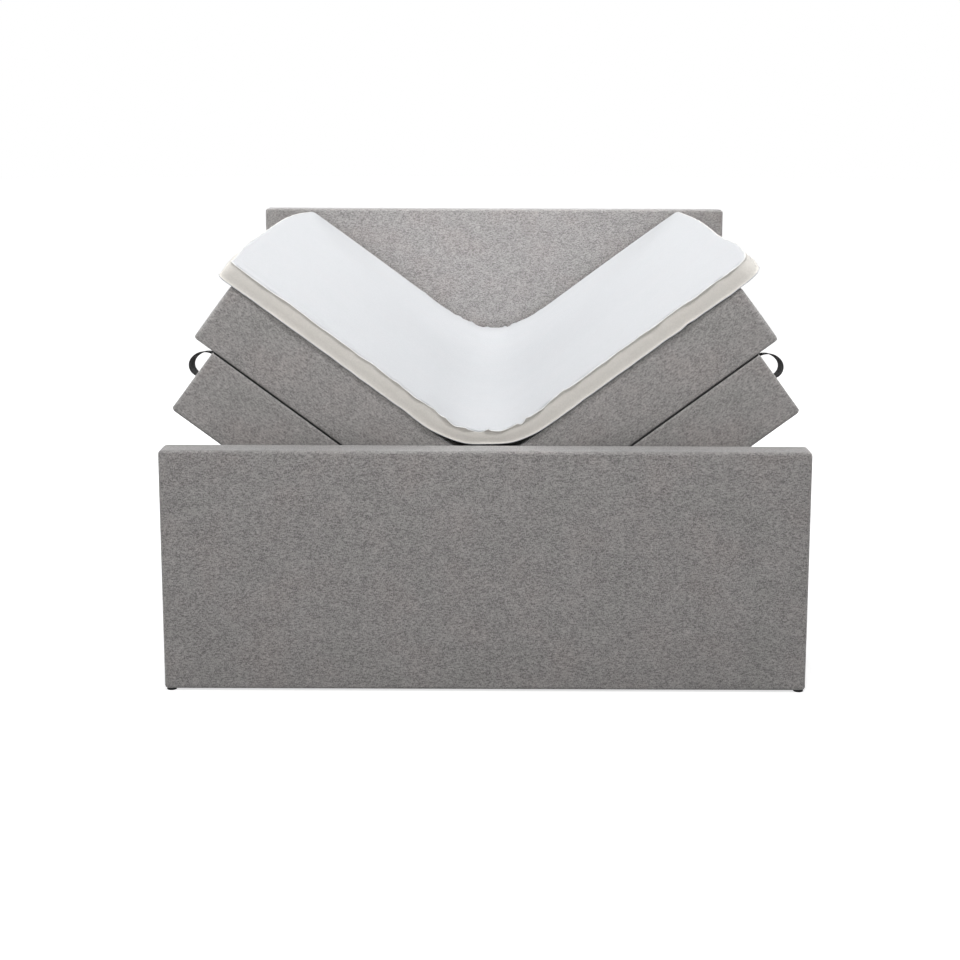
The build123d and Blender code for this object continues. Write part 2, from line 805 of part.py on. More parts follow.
    # Clamp plates grip the handle's two ends inside the frame board
    with BuildPart(axes) as handle_clamps:
        clamp_x = (inner_high_x - clamp_thickness, inner_high_x)
        for clamp_z in (strap_low_z, strap_high_z):
            block(
                clamp_x,
                (foot_y - clamp_width / 2, foot_y + clamp_width / 2),
                (clamp_z - clamp_height / 2, clamp_z + clamp_height / 2),
            )
        cut_strap_slots((clamp_x[0] - overrun, clamp_x[1] + overrun))
    handle_clamps.part.label = f"handle_clamps_{side_name}"
    export_step(handle_clamps.part, f"parts/handle_clamps_{side_name}.step")

    # Gas springs: tubes turn on the base studs, rods slide out of them to the lid
    along = spring_line(side, theta).normalized()
    spring_origin = Vector(side * spring_base_x, 0, spring_base_height)
    spring_axes = Plane(origin=spring_origin, x_dir=along, z_dir=along.cross(Vector(0, side, 0)))
    tube_end = spring_tube_start + spring_tube_length
    rod_start = tube_end - spring_rod_engagement
    bore_radius = spring_tube_radius - spring_tube_wall
    with BuildPart(spring_axes) as gas_cylinders:
        for end_name, end in ENDS:
            eye_y = (end * eye_inner, end * eye_outer)
            round_y(0, eye_y, 0, spring_eye_radius)
            tube_x = (spring_stud_head_radius + spring_head_clearance, tube_end)
            round_x(tube_x, end * spring_y, 0, spring_tube_radius)
            bore_x = (spring_eye_radius + spring_tube_start, tube_end - spring_guide_length)
            round_x(bore_x, end * spring_y, 0, bore_radius, Mode.SUBTRACT)
            guide_radius = spring_rod_radius + spring_rod_clearance
            round_x((bore_x[1], tube_end + overrun), end * spring_y, 0, guide_radius, Mode.SUBTRACT)
            hole_y = (end * (eye_inner - overrun), end * (eye_outer + overrun))
            hole_radius = spring_stud_radius + spring_stud_clearance
            round_y(0, hole_y, 0, hole_radius, Mode.SUBTRACT)
    gas_cylinders.part.label = f"gas_cylinders_{side_name}"
    export_step(gas_cylinders.part, f"parts/gas_cylinders_{side_name}.step")

    with BuildPart(spring_axes) as gas_rods:
        for end_name, end in ENDS:
            round_x((rod_start, open_length), end * spring_y, 0, spring_rod_radius)
            piston_x = (rod_start, rod_start + spring_piston_length)
            round_x(piston_x, end * spring_y, 0, bore_radius - spring_rod_clearance)
            eye_y = (end * eye_inner, end * eye_outer)
            round_y(open_length, eye_y, 0, spring_rod_eye_radius)
    gas_rods.part.label = f"gas_rods_{side_name}"
    export_step(gas_rods.part, f"parts/gas_rods_{side_name}.step")

    # Mattress cover: quilted fabric all round, crowned on top
    axes = mattress_axes(side)
    mattress_half_length = half_length - mattress_end_gap
    mattress_form = padded_form(axes, (mattress_inner, mattress_outer), mattress_half_length,
                                (mattress_bottom, mattress_top), mattress_crown, mattress_draw,
                                mattress_corner_radius, mattress_edge_radius)
    core_x = (mattress_inner + mattress_border, mattress_outer - mattress_border)
    core_y = mattress_half_length - mattress_border
    core_z = (mattress_bottom + mattress_border, mattress_top - mattress_border)
    with BuildPart(axes) as mattress_cover:
        add(axes.location.inverse() * mattress_form)
        block(core_x, (-core_y, core_y), core_z, Mode.SUBTRACT)
    mattress_cover.part.label = f"mattress_cover_{side_name}"
    export_step(mattress_cover.part, f"parts/mattress_cover_{side_name}.step")

    # Foam sheets under and over the mattress springs
    filling_x = (core_x[0] + seat_gap, core_x[1] - seat_gap)
    filling_y = core_y - seat_gap
    low_foam_z = (core_z[0] + seat_gap, core_z[0] + seat_gap + mattress_foam_thickness)
    high_foam_z = (core_z[1] - seat_gap - mattress_foam_thickness, core_z[1] - seat_gap)
    with BuildPart(axes) as mattress_foam:
        for foam_z in (low_foam_z, high_foam_z):
            block(filling_x, (-filling_y, filling_y), foam_z)
    mattress_foam.part.label = f"mattress_foam_{side_name}"
    export_step(mattress_foam.part, f"parts/mattress_foam_{side_name}.step")

    # Pocket springs in the mattress
    mattress_springs = spring_strips(axes, filling_x, filling_y,
                                     (low_foam_z[1] + seat_gap, high_foam_z[0] - seat_gap))
    mattress_springs.label = f"mattress_springs_{side_name}"
    export_step(mattress_springs, f"parts/mattress_springs_{side_name}.step")

# The topper bends over the middle of the bed and lies straight on each mattress
underside_from_pivot = topper_bottom - pivot_height
apex_z = pivot_height + (underside_from_pivot - pivot_x * sin_open) / cos_open
bend_centre_z = apex_z + topper_bend_radius / cos_open
bend_middle_radius = topper_bend_radius - topper_thickness / 2
bend_closed_x = bend_middle_radius * theta
tangent_x = topper_bend_radius * sin_open
tangent_z = bend_centre_z - topper_bend_radius * cos_open


def topper_flap(axes, inset):
    """One straight side of the topper, with all its outer faces inset alike."""
    end_y = half_length - inset
    with BuildPart(axes) as flap:
        block(
            (bend_closed_x + seat_gap, topper_half - inset),
            (-end_y, end_y),
            (topper_bottom + inset, topper_bottom + topper_thickness - inset),
        )
        outward_axis = Axis(axes.origin, axes.x_dir)
        upward_axis = Axis(axes.origin, axes.z_dir)
        outer_corners = edges().filter_by(upward_axis).sort_by(outward_axis)[-2:]
        fillet(outer_corners, topper_corner_radius - inset)
        bend_side = faces().sort_by(outward_axis)[0]
        level_faces = faces().filter_by(upward_axis)
        rim_edges = level_faces[0].edges() + level_faces[1].edges() - bend_side.edges()
        fillet(rim_edges, topper_edge_radius - inset)
    return flap.part


def bend_point(radius, turn):
    """A point of the bend's side view, turn radians from its lowest point."""
    return (radius * math.sin(turn), bend_centre_z - radius * math.cos(turn))


def topper_bend(inset):
    """The bent middle of the topper, with its outer faces inset alike."""
    low_radius = topper_bend_radius - inset
    high_radius = topper_bend_radius - topper_thickness + inset
    with BuildPart() as bend:
        with BuildSketch(Plane.XZ):
            with BuildLine():
                for radius in (low_radius, high_radius):
                    ThreePointArc(
                        bend_point(radius, -theta), bend_point(radius, 0), bend_point(radius, theta)
                    )
                for turn in (-theta, theta):
                    Line(bend_point(low_radius, turn), bend_point(high_radius, turn))
            make_face()
        extrude(amount=half_length - inset, both=True)
        fillet(edges().filter_by(GeomType.CIRCLE), topper_edge_radius - inset)
    return bend.part


topper_pieces = [("middle", topper_bend)]
for side_name, side in SIDES:
    axes = carried_axes(side, bend_closed_x, topper_bottom, tangent_x, tangent_z)
    topper_pieces.append((side_name, lambda inset, axes=axes: topper_flap(axes, inset)))

for piece_name, topper_piece in topper_pieces:
    with BuildPart() as topper_cover:
        add(topper_piece(0))
        add(topper_piece(topper_cover_thickness), mode=Mode.SUBTRACT)
    topper_cover.part.label = f"topper_cover_{piece_name}"
    export_step(topper_cover.part, f"parts/topper_cover_{piece_name}.step")

    with BuildPart() as topper_foam:
        add(topper_piece(topper_cover_thickness + seat_gap))
    topper_foam.part.label = f"topper_foam_{piece_name}"
    export_step(topper_foam.part, f"parts/topper_foam_{piece_name}.step")

# The pivot of a topper flap: the one point that stays in place between closed and open
flap_move_x = tangent_x - bend_closed_x
flap_move_z = tangent_z - topper_bottom
half_cotangent = 0.5 / math.tan(theta / 2)
flap_pivot_x = (tangent_x + bend_closed_x) / 2 - flap_move_z * half_cotangent
flap_pivot_z = (tangent_z + topper_bottom) / 2 + flap_move_x * half_cotangent

print("lid pivot", round(pivot_x, 3), round(pivot_height, 3))
print("flap pivot", round(flap_pivot_x, 3), round(flap_pivot_z, 3))
print("mattress slide", mattress_slide, "per radian", round(mattress_slide / theta, 4))
print("gas spring", round(closed_length, 2), "to", round(open_length, 2), "turns", round(spring_turn, 3))
print("gas spring slide per radian", round((open_length - closed_length) / theta, 4))
print("notch", round(notch_half, 1), round(notch_top, 1))
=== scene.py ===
import math

import bpy
import numpy as np
from mathutils import Matrix, Vector


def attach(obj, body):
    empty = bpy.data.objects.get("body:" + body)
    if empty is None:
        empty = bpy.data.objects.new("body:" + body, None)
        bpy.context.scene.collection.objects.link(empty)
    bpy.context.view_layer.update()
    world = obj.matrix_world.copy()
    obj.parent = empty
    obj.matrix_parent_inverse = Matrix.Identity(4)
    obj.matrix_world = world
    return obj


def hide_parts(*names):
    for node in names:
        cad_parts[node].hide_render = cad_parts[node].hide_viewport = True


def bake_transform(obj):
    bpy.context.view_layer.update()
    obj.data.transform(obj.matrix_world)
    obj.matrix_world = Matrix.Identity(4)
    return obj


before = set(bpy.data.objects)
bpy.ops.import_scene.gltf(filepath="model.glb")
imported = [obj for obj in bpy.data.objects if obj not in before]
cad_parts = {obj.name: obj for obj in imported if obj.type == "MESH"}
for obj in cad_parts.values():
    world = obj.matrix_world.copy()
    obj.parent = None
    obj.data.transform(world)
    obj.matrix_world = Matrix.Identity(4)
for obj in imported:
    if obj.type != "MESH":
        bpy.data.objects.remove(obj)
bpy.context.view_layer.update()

# The head board and the foot board: a wooden frame with a hardboard panel on each face, wrapped in
# wadding and one piece of grey melange cloth. The cloth is folded round the edges and stapled
# underneath, so no seam shows on the front.
BOARD_HALF_WIDTH = 0.920
BOARD_FACE = 1.020
BOARD_THICKNESS = 0.090
BOARD_FOOT = 0.0055
BOARD_EDGE_RADIUS = 0.008
BOARD_CORNER_RADIUS = 0.0105
BOARD_CELL = 0.030
BOARDS = (("footboard", -1, 0.704), ("headboard", 1, 1.240))
BOARD_CROWN = 0.0015
BOARD_UNEVEN = 0.0009


def new_node(tree, kind, inputs=None, **settings):
    """A node of that kind. Each input gets a value, or a link if it is given a socket."""
    made = tree.nodes.new(kind)
    for name, value in settings.items():
        setattr(made, name, value)
    for key, value in (inputs or {}).items():
        if isinstance(value, bpy.types.NodeSocket):
            tree.links.new(value, made.inputs[key])
        else:
            made.inputs[key].default_value = value
    return made


def calculate(tree, operation, *values):
    """The result of one Math node on sockets or numbers."""
    return new_node(tree, "ShaderNodeMath", dict(enumerate(values)), operation=operation).outputs[0]


def noise_at(tree, x, y, z, detail=1.0):
    """Noise, 0 to 1, at a place of three numbers, sockets, or pairs of a socket and its factor.

    One unit is about one grain."""
    place = new_node(tree, "ShaderNodeCombineXYZ", dict(enumerate(
        calculate(tree, "MULTIPLY", *value) if isinstance(value, tuple) else value
        for value in (x, y, z))))
    return new_node(tree, "ShaderNodeTexNoise", {
        "Vector": place.outputs[0], "Scale": 1.0, "Detail": detail, "Roughness": 0.5,
    }).outputs["Fac"]


def blend_colours(tree, share, first, second, mode="MIX"):
    """Two colours mixed by a share from 0 to 1."""
    return new_node(tree, "ShaderNodeMix", {0: share, 6: first, 7: second},
                    data_type="RGBA", blend_type=mode).outputs[2]


def stretch(tree, value, low, high, to_low=0.0, to_high=1.0):
    """A value mapped from one range to another and held within it."""
    return new_node(tree, "ShaderNodeMapRange", {
        "Value": value, "From Min": low, "From Max": high, "To Min": to_low, "To Max": to_high,
    }).outputs[0]


def new_group(name, inputs, outputs):
    """A shader node group with named sockets, and the sockets of its input node.

    An input without a start value is a vector, one with four numbers a colour, any other a value."""
    group = bpy.data.node_groups.new(name, "ShaderNodeTree")
    for socket_name, start in inputs.items():
        kind = "Vector" if start is None else "Color" if isinstance(start, tuple) else "Float"
        socket = group.interface.new_socket(socket_name, in_out="INPUT", socket_type="NodeSocket" + kind)
        if start is not None:
            socket.default_value = start
    for socket_name in outputs:
        kind = "Color" if socket_name == "Color" else "Float"
        group.interface.new_socket(socket_name, in_out="OUTPUT", socket_type="NodeSocket" + kind)
    return group, group.nodes.new("NodeGroupInput").outputs


def make_weave():
    """Melange cloth in plain weave, in metres of cloth.

    Warp and weft cross in a chequer of one yarn's width. Each yarn's tone is noise that runs long
    along the yarn and changes from yarn to yarn. Slubs are short light or dark stretches of two
    yarns, where the same noise passes a limit, longer along the weft than along the warp. A soft
    cloud about three centimetres wide lightens and darkens them. The height is the half round of
    the yarn on top."""
    tree, given = new_group("melange_weave", {
        "Cloth": None, "Yarn": 0.001, "Dark": (0.1, 0.1, 0.1, 1), "Light": (0.5, 0.5, 0.5, 1),
        "Slub": 0.5, "Patch": 0.3}, ("Color", "Height"))
    cloth_x, cloth_y = new_node(tree, "ShaderNodeSeparateXYZ", {0: given["Cloth"]}).outputs[:2]
    across, along = [calculate(tree, "DIVIDE", value, given["Yarn"]) for value in (cloth_x, cloth_y)]
    column, row = [calculate(tree, "FLOOR", value) for value in (across, along)]
    on_top = calculate(tree, "FLOORED_MODULO", calculate(tree, "ADD", column, row), 2.0)
    warp = noise_at(tree, (column, 5.83), (along, 0.3), 1.7, 0.0)
    weft = noise_at(tree, (across, 0.3), (row, 5.83), 7.9, 0.0)
    yarn_tone = new_node(tree, "ShaderNodeMix", {0: on_top, 2: warp, 3: weft}).outputs[0]
    pair_column, pair_row = [calculate(tree, "FLOOR", calculate(tree, "MULTIPLY", value, 0.5))
                             for value in (across, along)]
    slubs = (noise_at(tree, (pair_column, 5.37), (along, 0.17), 3.1, 0.0),
             noise_at(tree, (across, 0.11), (pair_row, 5.37), 5.3, 0.0))
    lightest, darkest = [calculate(tree, "MAXIMUM", *[stretch(tree, slub, start, full) for slub in slubs])
                         for start, full in ((0.54, 0.7), (0.46, 0.3))]
    slub = calculate(tree, "MULTIPLY_ADD", calculate(tree, "SUBTRACT", lightest, darkest), 0.5, 0.5)
    yarn_wide = stretch(tree, yarn_tone, 0.3, 0.7)
    tone = new_node(tree, "ShaderNodeMix", {0: given["Slub"], 2: yarn_wide, 3: slub}).outputs[0]
    cloud = noise_at(tree, (cloth_x, 34.0), (cloth_y, 34.0), 4.4, 3.0)
    tone = calculate(tree, "MULTIPLY_ADD", calculate(tree, "SUBTRACT", cloud, 0.5), 0.30, tone)
    colour = blend_colours(tree, tone, given["Dark"], given["Light"])
    drift = noise_at(tree, (cloth_x, 7.0), (cloth_y, 7.0), 2.2, 2.0)
    for full, tint in ((0.68, (1.05, 1.0, 0.985, 1)), (0.32, (0.94, 0.97, 0.95, 1))):
        share = calculate(tree, "MULTIPLY", stretch(tree, drift, 0.5, full), given["Patch"])
        colour = blend_colours(tree, share, colour, tint, "MULTIPLY")
    round_up, round_over = [
        calculate(tree, "ABSOLUTE", calculate(tree, "SINE", calculate(tree, "MULTIPLY", value, math.pi)))
        for value in (across, along)]
    relief = new_node(tree, "ShaderNodeMix", {0: on_top, 2: round_up, 3: round_over}).outputs[0]
    height = calculate(tree, "MULTIPLY", relief, stretch(tree, yarn_tone, 0.2, 0.8, 0.6, 1.0))
    new_node(tree, "NodeGroupOutput", {"Color": colour, "Height": height})
    return tree


WEAVE = make_weave()


def new_material(name, roughness, **settings):
    """A material with one Principled shader, whose own sockets take the uniform settings."""
    material = bpy.data.materials.new(name)
    material.use_nodes = True
    shader = material.node_tree.nodes["Principled BSDF"]
    shader.inputs["Roughness"].default_value = roughness
    for key, value in settings.items():
        shader.inputs[key.replace("_", " ")].default_value = value
    return material, material.node_tree, shader


def patterned(name, group, values, roughness, relief, depth, turn=None, **settings):
    """A material whose colour and height come from a node group, whose first input is a place.

    The place is the piece's own UV map, in metres, or Object coordinates where a turn is given.
    relief and depth are the strength and distance of the Bump node. Also returns the node tree,
    the shader and the group's node."""
    material, tree, shader = new_material(name, roughness, **settings)
    if turn is None:
        place = new_node(tree, "ShaderNodeUVMap", uv_map="cloth").outputs[0]
    else:
        place = new_node(tree, "ShaderNodeMapping", {
            "Vector": new_node(tree, "ShaderNodeTexCoord").outputs["Object"], "Rotation": turn}).outputs[0]
    pattern = new_node(tree, "ShaderNodeGroup", {0: place, **values}, node_tree=group)
    bump = new_node(tree, "ShaderNodeBump", {
        "Height": pattern.outputs["Height"], "Strength": relief, "Distance": depth})
    tree.links.new(pattern.outputs["Color"], shader.inputs["Base Color"])
    tree.links.new(bump.outputs[0], shader.inputs["Normal"])
    return material, tree, shader, pattern


def woven_cloth(name, dark, light):
    """Melange cloth with slubs and a faint fuzz, between a dark and a light yarn colour."""
    values = {"Yarn": 0.00095, "Dark": dark, "Light": light, "Slub": 0.55, "Patch": 0.4}
    return patterned(name, WEAVE, values, 0.9, relief=0.5, depth=0.0006, Sheen_Weight=1.0,
                     Sheen_Roughness=0.45, Specular_IOR_Level=0.25)[0]


def grid_lines(half, corner, cell, arc_steps=4):
    """Places from -half to half: close together within a corner radius of each end, else a cell apart.

    One more line close inside each corner keeps a subdivision from drawing the corner in."""
    inside = half - corner
    guard = inside - min(cell / 4, corner + 0.002)
    ends = np.linspace(inside, half, arc_steps + 1)
    middle = np.linspace(-guard, guard, max(2, round(2 * guard / cell)) + 1)
    return np.concatenate((-ends[::-1], middle, ends))


def turn_corners(x, y, half_x, half_y, corner):
    """Pushes a rectangle's grid onto nested arcs in its corners.

    Within a corner radius of both ends, a point keeps the larger of its two distances from the
    corner's centre as its radius, so that squares about the centre become circles. Also returns
    the direction away from the centre."""
    over_x = np.maximum(np.abs(x) - (half_x - corner), 0) * np.sign(x)
    over_y = np.maximum(np.abs(y) - (half_y - corner), 0) * np.sign(y)
    reach = np.maximum(np.hypot(over_x, over_y), 1e-9)
    size = np.maximum(np.abs(over_x), np.abs(over_y))
    away = np.stack((over_x / reach, over_y / reach), -1)
    return x - over_x + away[..., 0] * size, y - over_y + away[..., 1] * size, away


def ring_quads(rings):
    """The quads between neighbouring rows of closed rings of point numbers, row by row."""
    after = np.roll(rings, -1, 1)
    return np.stack((rings[:-1], after[:-1], after[1:], rings[1:]), -1).reshape(-1, 4)


def ring_cloth(around, climb):
    """The cloth coordinates of those quads, from the lengths along a ring and from row to row."""
    at = np.stack(np.meshgrid(around, climb), -1)
    return np.stack((at[:-1, :-1], at[:-1, 1:], at[1:, 1:], at[1:, :-1]), 2).reshape(-1, 4, 2)


def lengths_along(path):
    """The length of a path up to each of its points."""
    return np.concatenate(((0,), np.cumsum(np.linalg.norm(np.diff(path, axis=0), axis=1))))


def wrapped_form(half_x, half_y, corner, profile, cell, square_start=False):
    """A closed padded form: two panels joined by a wall that follows their outline.

    The panels are grids with turned corners. The wall carries a profile of (outward, height) pairs
    along the outline's own directions, from the low panel to the high one. Returns points, quads,
    the quads' cloth coordinates in metres, and each point's place: the grid x, the row (-1 on the
    low panel, -2 on the high one, else the wall's) and the way outwards. wall_row is the row of
    each quad. With square_start the side at low x is a flat cut with square corners."""
    grid_x, grid_y = np.meshgrid(grid_lines(half_x, corner, cell), grid_lines(half_y, corner, cell),
                                 indexing="ij")
    panel_x, panel_y, away = turn_corners(grid_x, grid_y, half_x, half_y, corner)
    if square_start:
        straight = grid_x < 0
        panel_x, panel_y = np.where(straight, grid_x, panel_x), np.where(straight, grid_y, panel_y)
        side_only = np.stack((np.zeros_like(grid_y), np.sign(grid_y) * (np.abs(grid_y) >= half_y - 1e-9)), -1)
        away = np.where(straight[..., None], side_only, away)
    panel_count = grid_x.size
    n = np.arange(panel_count).reshape(grid_x.shape)
    ring = np.concatenate((n[:, 0], n[-1, 1:], n[-2::-1, -1], n[0, -2:0:-1]))
    outline = np.stack((panel_x.ravel(), panel_y.ravel()), -1)[ring]
    outward = away.reshape(-1, 2)[ring]
    profile = np.asarray(profile, float)
    rows = len(profile) - 2

    low = np.stack((panel_x.ravel(), panel_y.ravel(), np.full(panel_count, profile[0, 1])), -1)
    high = low.copy()
    high[:, 2] = profile[-1, 1]
    wall_xy = outline[None] + outward[None] * profile[1:-1, 0][:, None, None]
    wall_z = np.broadcast_to(profile[1:-1, 1][:, None, None], (rows, len(ring), 1))
    points = np.concatenate((low, high, np.concatenate((wall_xy, wall_z), -1).reshape(-1, 3)))

    rings = np.concatenate((ring[None], panel_count * 2 + np.arange(rows * len(ring)).reshape(rows, -1),
                            panel_count + ring[None]))
    wall_cloth = ring_cloth(lengths_along(np.concatenate((outline, outline[:1]))), lengths_along(profile))
    low_quads = np.stack((n[:-1, :-1], n[:-1, 1:], n[1:, 1:], n[1:, :-1]), -1).reshape(-1, 4)
    upward = low_quads[:, (0, 3, 2, 1)]
    flat = np.stack((grid_x.ravel(), grid_y.ravel()), -1)
    quads = np.concatenate((low_quads, upward + panel_count, ring_quads(rings)))
    uv = np.concatenate((flat[low_quads], flat[upward], wall_cloth))
    place = {
        "x": np.concatenate((flat[:, 0], flat[:, 0], np.tile(flat[ring, 0], rows))),
        "row": np.repeat((-1, -2, *range(rows)), (panel_count, panel_count, *[len(ring)] * rows)),
        "away": np.concatenate((np.zeros((panel_count * 2, 2)), np.tile(outward, (rows, 1)))),
        "wall_row": np.repeat((-1, -2, *range(rows + 1)),
                              (len(low_quads), len(low_quads), *[len(ring)] * (rows + 1))),
    }
    return points, quads, uv, place


def rounded_edge(low, high, radius, steps=3):
    """The profile of a wall from a low panel to a high one, with a quarter round at each edge."""
    turn = np.linspace(0, math.pi / 2, steps + 1)
    first = np.stack((radius * np.sin(turn), low + radius * (1 - np.cos(turn))), -1)
    guard = min(radius, (high - low) / 8)
    middle = np.array([(radius, low + radius + guard), (radius, (low + high) / 2),
                       (radius, high - radius - guard)])
    last = np.stack((radius * np.sin(turn[::-1]), high - radius * (1 - np.cos(turn[::-1]))), -1)
    return np.concatenate((first, middle, last))


def rounded_slab(half_x, half_y, limits, edge, corner, cell, steps=3):
    """A wrapped form whose wall has a quarter round at each panel. Returns what wrapped_form returns."""
    return wrapped_form(half_x - edge, half_y - edge, corner - edge, rounded_edge(*limits, edge, steps), cell)


def new_mesh(name, points, quads, uv, materials, material_index=None, caps=()):
    """A mesh object of quads with its cloth coordinates in a UV map in metres.

    Caps are faces with more corners, which no cloth pattern is laid on."""
    mesh = bpy.data.meshes.new(name)
    mesh.from_pydata(np.asarray(points, float).tolist(), [],
                     np.asarray(quads).tolist() + np.asarray(caps).tolist())
    layer = mesh.uv_layers.new(name="cloth")
    cloth = np.zeros(len(layer.data) * 2, np.float32)
    cloth[:np.size(uv)] = np.ravel(uv)
    layer.data.foreach_set("uv", cloth)
    for material in materials:
        mesh.materials.append(material)
    if material_index is not None:
        mesh.polygons.foreach_set("material_index", np.asarray(material_index, np.int32))
    mesh.polygons.foreach_set("use_smooth", np.ones(len(mesh.polygons), bool))
    mesh.validate()
    mesh.update()
    made = bpy.data.objects.new(name, mesh)
    bpy.context.scene.collection.objects.link(made)
    return made


def facing_out(side, quads, uv):
    """Quads keep the order of their corners on the side above 0, and are turned round on the other."""
    return (quads, uv) if side > 0 else (quads[:, ::-1], uv[:, ::-1])


def subdivide(piece):
    """Rounds a piece with a subdivision surface, as smooth in the render as on the screen."""
    rounder = piece.modifiers.new("soft", "SUBSURF")
    rounder.levels = rounder.render_levels = 1


def drift_waves(x, y, seed):
    """Slow unevenness of padded cloth, about -1 to 1: a sum of sines along several slanted lines."""
    draw = np.random.default_rng(seed)
    total = np.zeros_like(x)
    for _ in range(7):
        angle, phase = draw.uniform(0, math.pi), draw.uniform(0, 2 * math.pi)
        length = draw.uniform(0.16, 0.62)
        total += np.sin((x * math.cos(angle) + y * math.sin(angle)) * 2 * math.pi / length + phase)
    return total / 4


GREY_CLOTH = woven_cloth("grey_melange_cloth", (0.130, 0.1242, 0.1223, 1), (0.594, 0.568, 0.558, 1))
for board_name, end, board_top in BOARDS:
    half_height = (board_top - BOARD_FOOT) / 2
    points, quads, uv, place = rounded_slab(BOARD_HALF_WIDTH, half_height, (0, BOARD_THICKNESS),
                                            BOARD_EDGE_RADIUS, BOARD_CORNER_RADIUS, BOARD_CELL)
    crown = (1 - (points[:, 0] / BOARD_HALF_WIDTH) ** 8) * (1 - (points[:, 1] / half_height) ** 8)
    uneven = BOARD_UNEVEN * drift_waves(points[:, 0], points[:, 1], 11 + end)
    points[:, 2] += np.where(place["row"] == -2, (BOARD_CROWN + uneven) * crown, 0)
    world = np.stack((points[:, 0], end * (BOARD_FACE + points[:, 2]),
                      BOARD_FOOT + half_height + points[:, 1]), -1)
    board_cover = new_mesh(f"{board_name}_cloth", world, *facing_out(-end, quads, uv), [GREY_CLOTH])
    subdivide(board_cover)
    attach(board_cover, "root")
    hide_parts(f"{board_name}_cover")

# The cloth on the two side rails: a thin wadded cover folded over the rail's outer face and its top,
# and stapled inside.
SIDES = (("left", -1), ("right", 1))
RAIL_OUTER = 0.900
RAIL_INNER = 0.879
RAIL_TOP = 0.304
RAIL_HALF_LENGTH = 1.0197
RAIL_EDGE_RADIUS = 0.003
RAIL_CORNER_RADIUS = 0.004
for side_name, side in SIDES:
    half_thick, half_high = (RAIL_OUTER - RAIL_INNER) / 2, (RAIL_TOP - BOARD_FOOT) / 2
    points, quads, uv, _ = rounded_slab(RAIL_HALF_LENGTH, half_high, (-half_thick, half_thick),
                                        RAIL_EDGE_RADIUS, RAIL_CORNER_RADIUS, BOARD_CELL)
    world = np.stack((side * (RAIL_OUTER - half_thick + points[:, 2]), side * points[:, 0],
                      BOARD_FOOT + half_high + points[:, 1]), -1)
    rail_cloth = new_mesh(f"side_rail_cloth_{side_name}", world, quads, uv, [GREY_CLOTH])
    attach(rail_cloth, "root")
    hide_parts("side_rail_covers")

# The storage box and the frames inside the padded boards, lids and rails: planed pine boards, screwed
# together. They are oiled only lightly, so the grain and the saw's fine fibres show.


def make_grain():
    """Planed softwood, in metres, with the grain along the place's X.

    Growth rings are a sine of the distance across the grain, bent by slow noise that is drawn out
    along the grain. Fibres are fine noise drawn out forty times along it."""
    tree, given = new_group("wood_grain", {
        "Place": None, "Ring": 0.012, "Early": (0.6, 0.45, 0.28, 1), "Late": (0.4, 0.25, 0.12, 1),
        "Contrast": 0.6}, ("Color", "Height"))
    along, side_way, up = new_node(tree, "ShaderNodeSeparateXYZ", {0: given["Place"]}).outputs
    bend = noise_at(tree, (along, 1.1), (side_way, 9.0), (up, 9.0), 2.0)
    slanted = calculate(tree, "ADD", side_way, calculate(tree, "MULTIPLY", up, 0.6))
    turns = calculate(tree, "MULTIPLY", calculate(tree, "MULTIPLY_ADD", bend, 0.11, slanted), 2 * math.pi)
    ring = calculate(tree, "SINE", calculate(tree, "DIVIDE", turns, given["Ring"]))
    late = calculate(tree, "POWER", stretch(tree, ring, -1.0, 1.0), 2.4)
    fibre = noise_at(tree, (along, 28.0), (side_way, 1100.0), (up, 1100.0), 2.0)
    share = calculate(tree, "MULTIPLY_ADD", calculate(tree, "SUBTRACT", fibre, 0.5), 0.5,
                      calculate(tree, "MULTIPLY", late, given["Contrast"]))
    new_node(tree, "NodeGroupOutput", {"Color": blend_colours(tree, share, given["Early"], given["Late"]),
                                       "Height": calculate(tree, "MULTIPLY_ADD", late, 0.4, fibre)})
    return tree


GRAIN = make_grain()


def timber(name, turn, early, late, ring=0.012, contrast=0.6, roughness=0.62):
    """Planed wood on Object coordinates. turn brings the board's long way to the grain's X."""
    values = {"Ring": ring, "Early": early, "Late": late, "Contrast": contrast}
    return patterned(name, GRAIN, values, roughness, relief=0.25, depth=0.0004, turn=turn,
                     Specular_IOR_Level=0.35)[0]


def finish_nodes(material, slot, *names):
    """Gives CAD nodes their material. The slot is not used."""
    for node_name in names:
        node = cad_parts[node_name]
        node.data.materials.clear()
        node.data.materials.append(material)


ACROSS_BED, ALONG_BED, UPRIGHT = (0, 0, 0), (0, 0, -math.pi / 2), (0, math.pi / 2, 0)
PINE_EARLY, PINE_LATE = (0.66, 0.50, 0.31, 1), (0.46, 0.29, 0.14, 1)
PINE_ACROSS = timber("planed_pine_across", ACROSS_BED, PINE_EARLY, PINE_LATE)
PINE_UPRIGHT = timber("planed_pine_upright", UPRIGHT, PINE_EARLY, PINE_LATE)
finish_nodes(PINE_ACROSS, "board_wood", "floor_battens", "footboard_frame", "headboard_frame")
finish_nodes(PINE_UPRIGHT, "board_wood", "corner_blocks")

# The walls of the storage box: birch plywood, sanded, with wide pale rings on its peeled face. The side
# rails carry it inside, and are covered outside.
PLY_EARLY, PLY_LATE = (0.66, 0.54, 0.38, 1), (0.53, 0.40, 0.25, 1)
PLY_ACROSS = timber("birch_ply_across", ACROSS_BED, PLY_EARLY, PLY_LATE, 0.045, 0.45, 0.5)
PLY_ALONG = timber("birch_ply_along", ALONG_BED, PLY_EARLY, PLY_LATE, 0.045, 0.45, 0.5)
finish_nodes(PLY_ACROSS, "panel_wood", "end_board_foot", "end_board_head")
finish_nodes(PLY_ALONG, "panel_wood", "side_rail_left", "side_rail_right", "centre_divider")

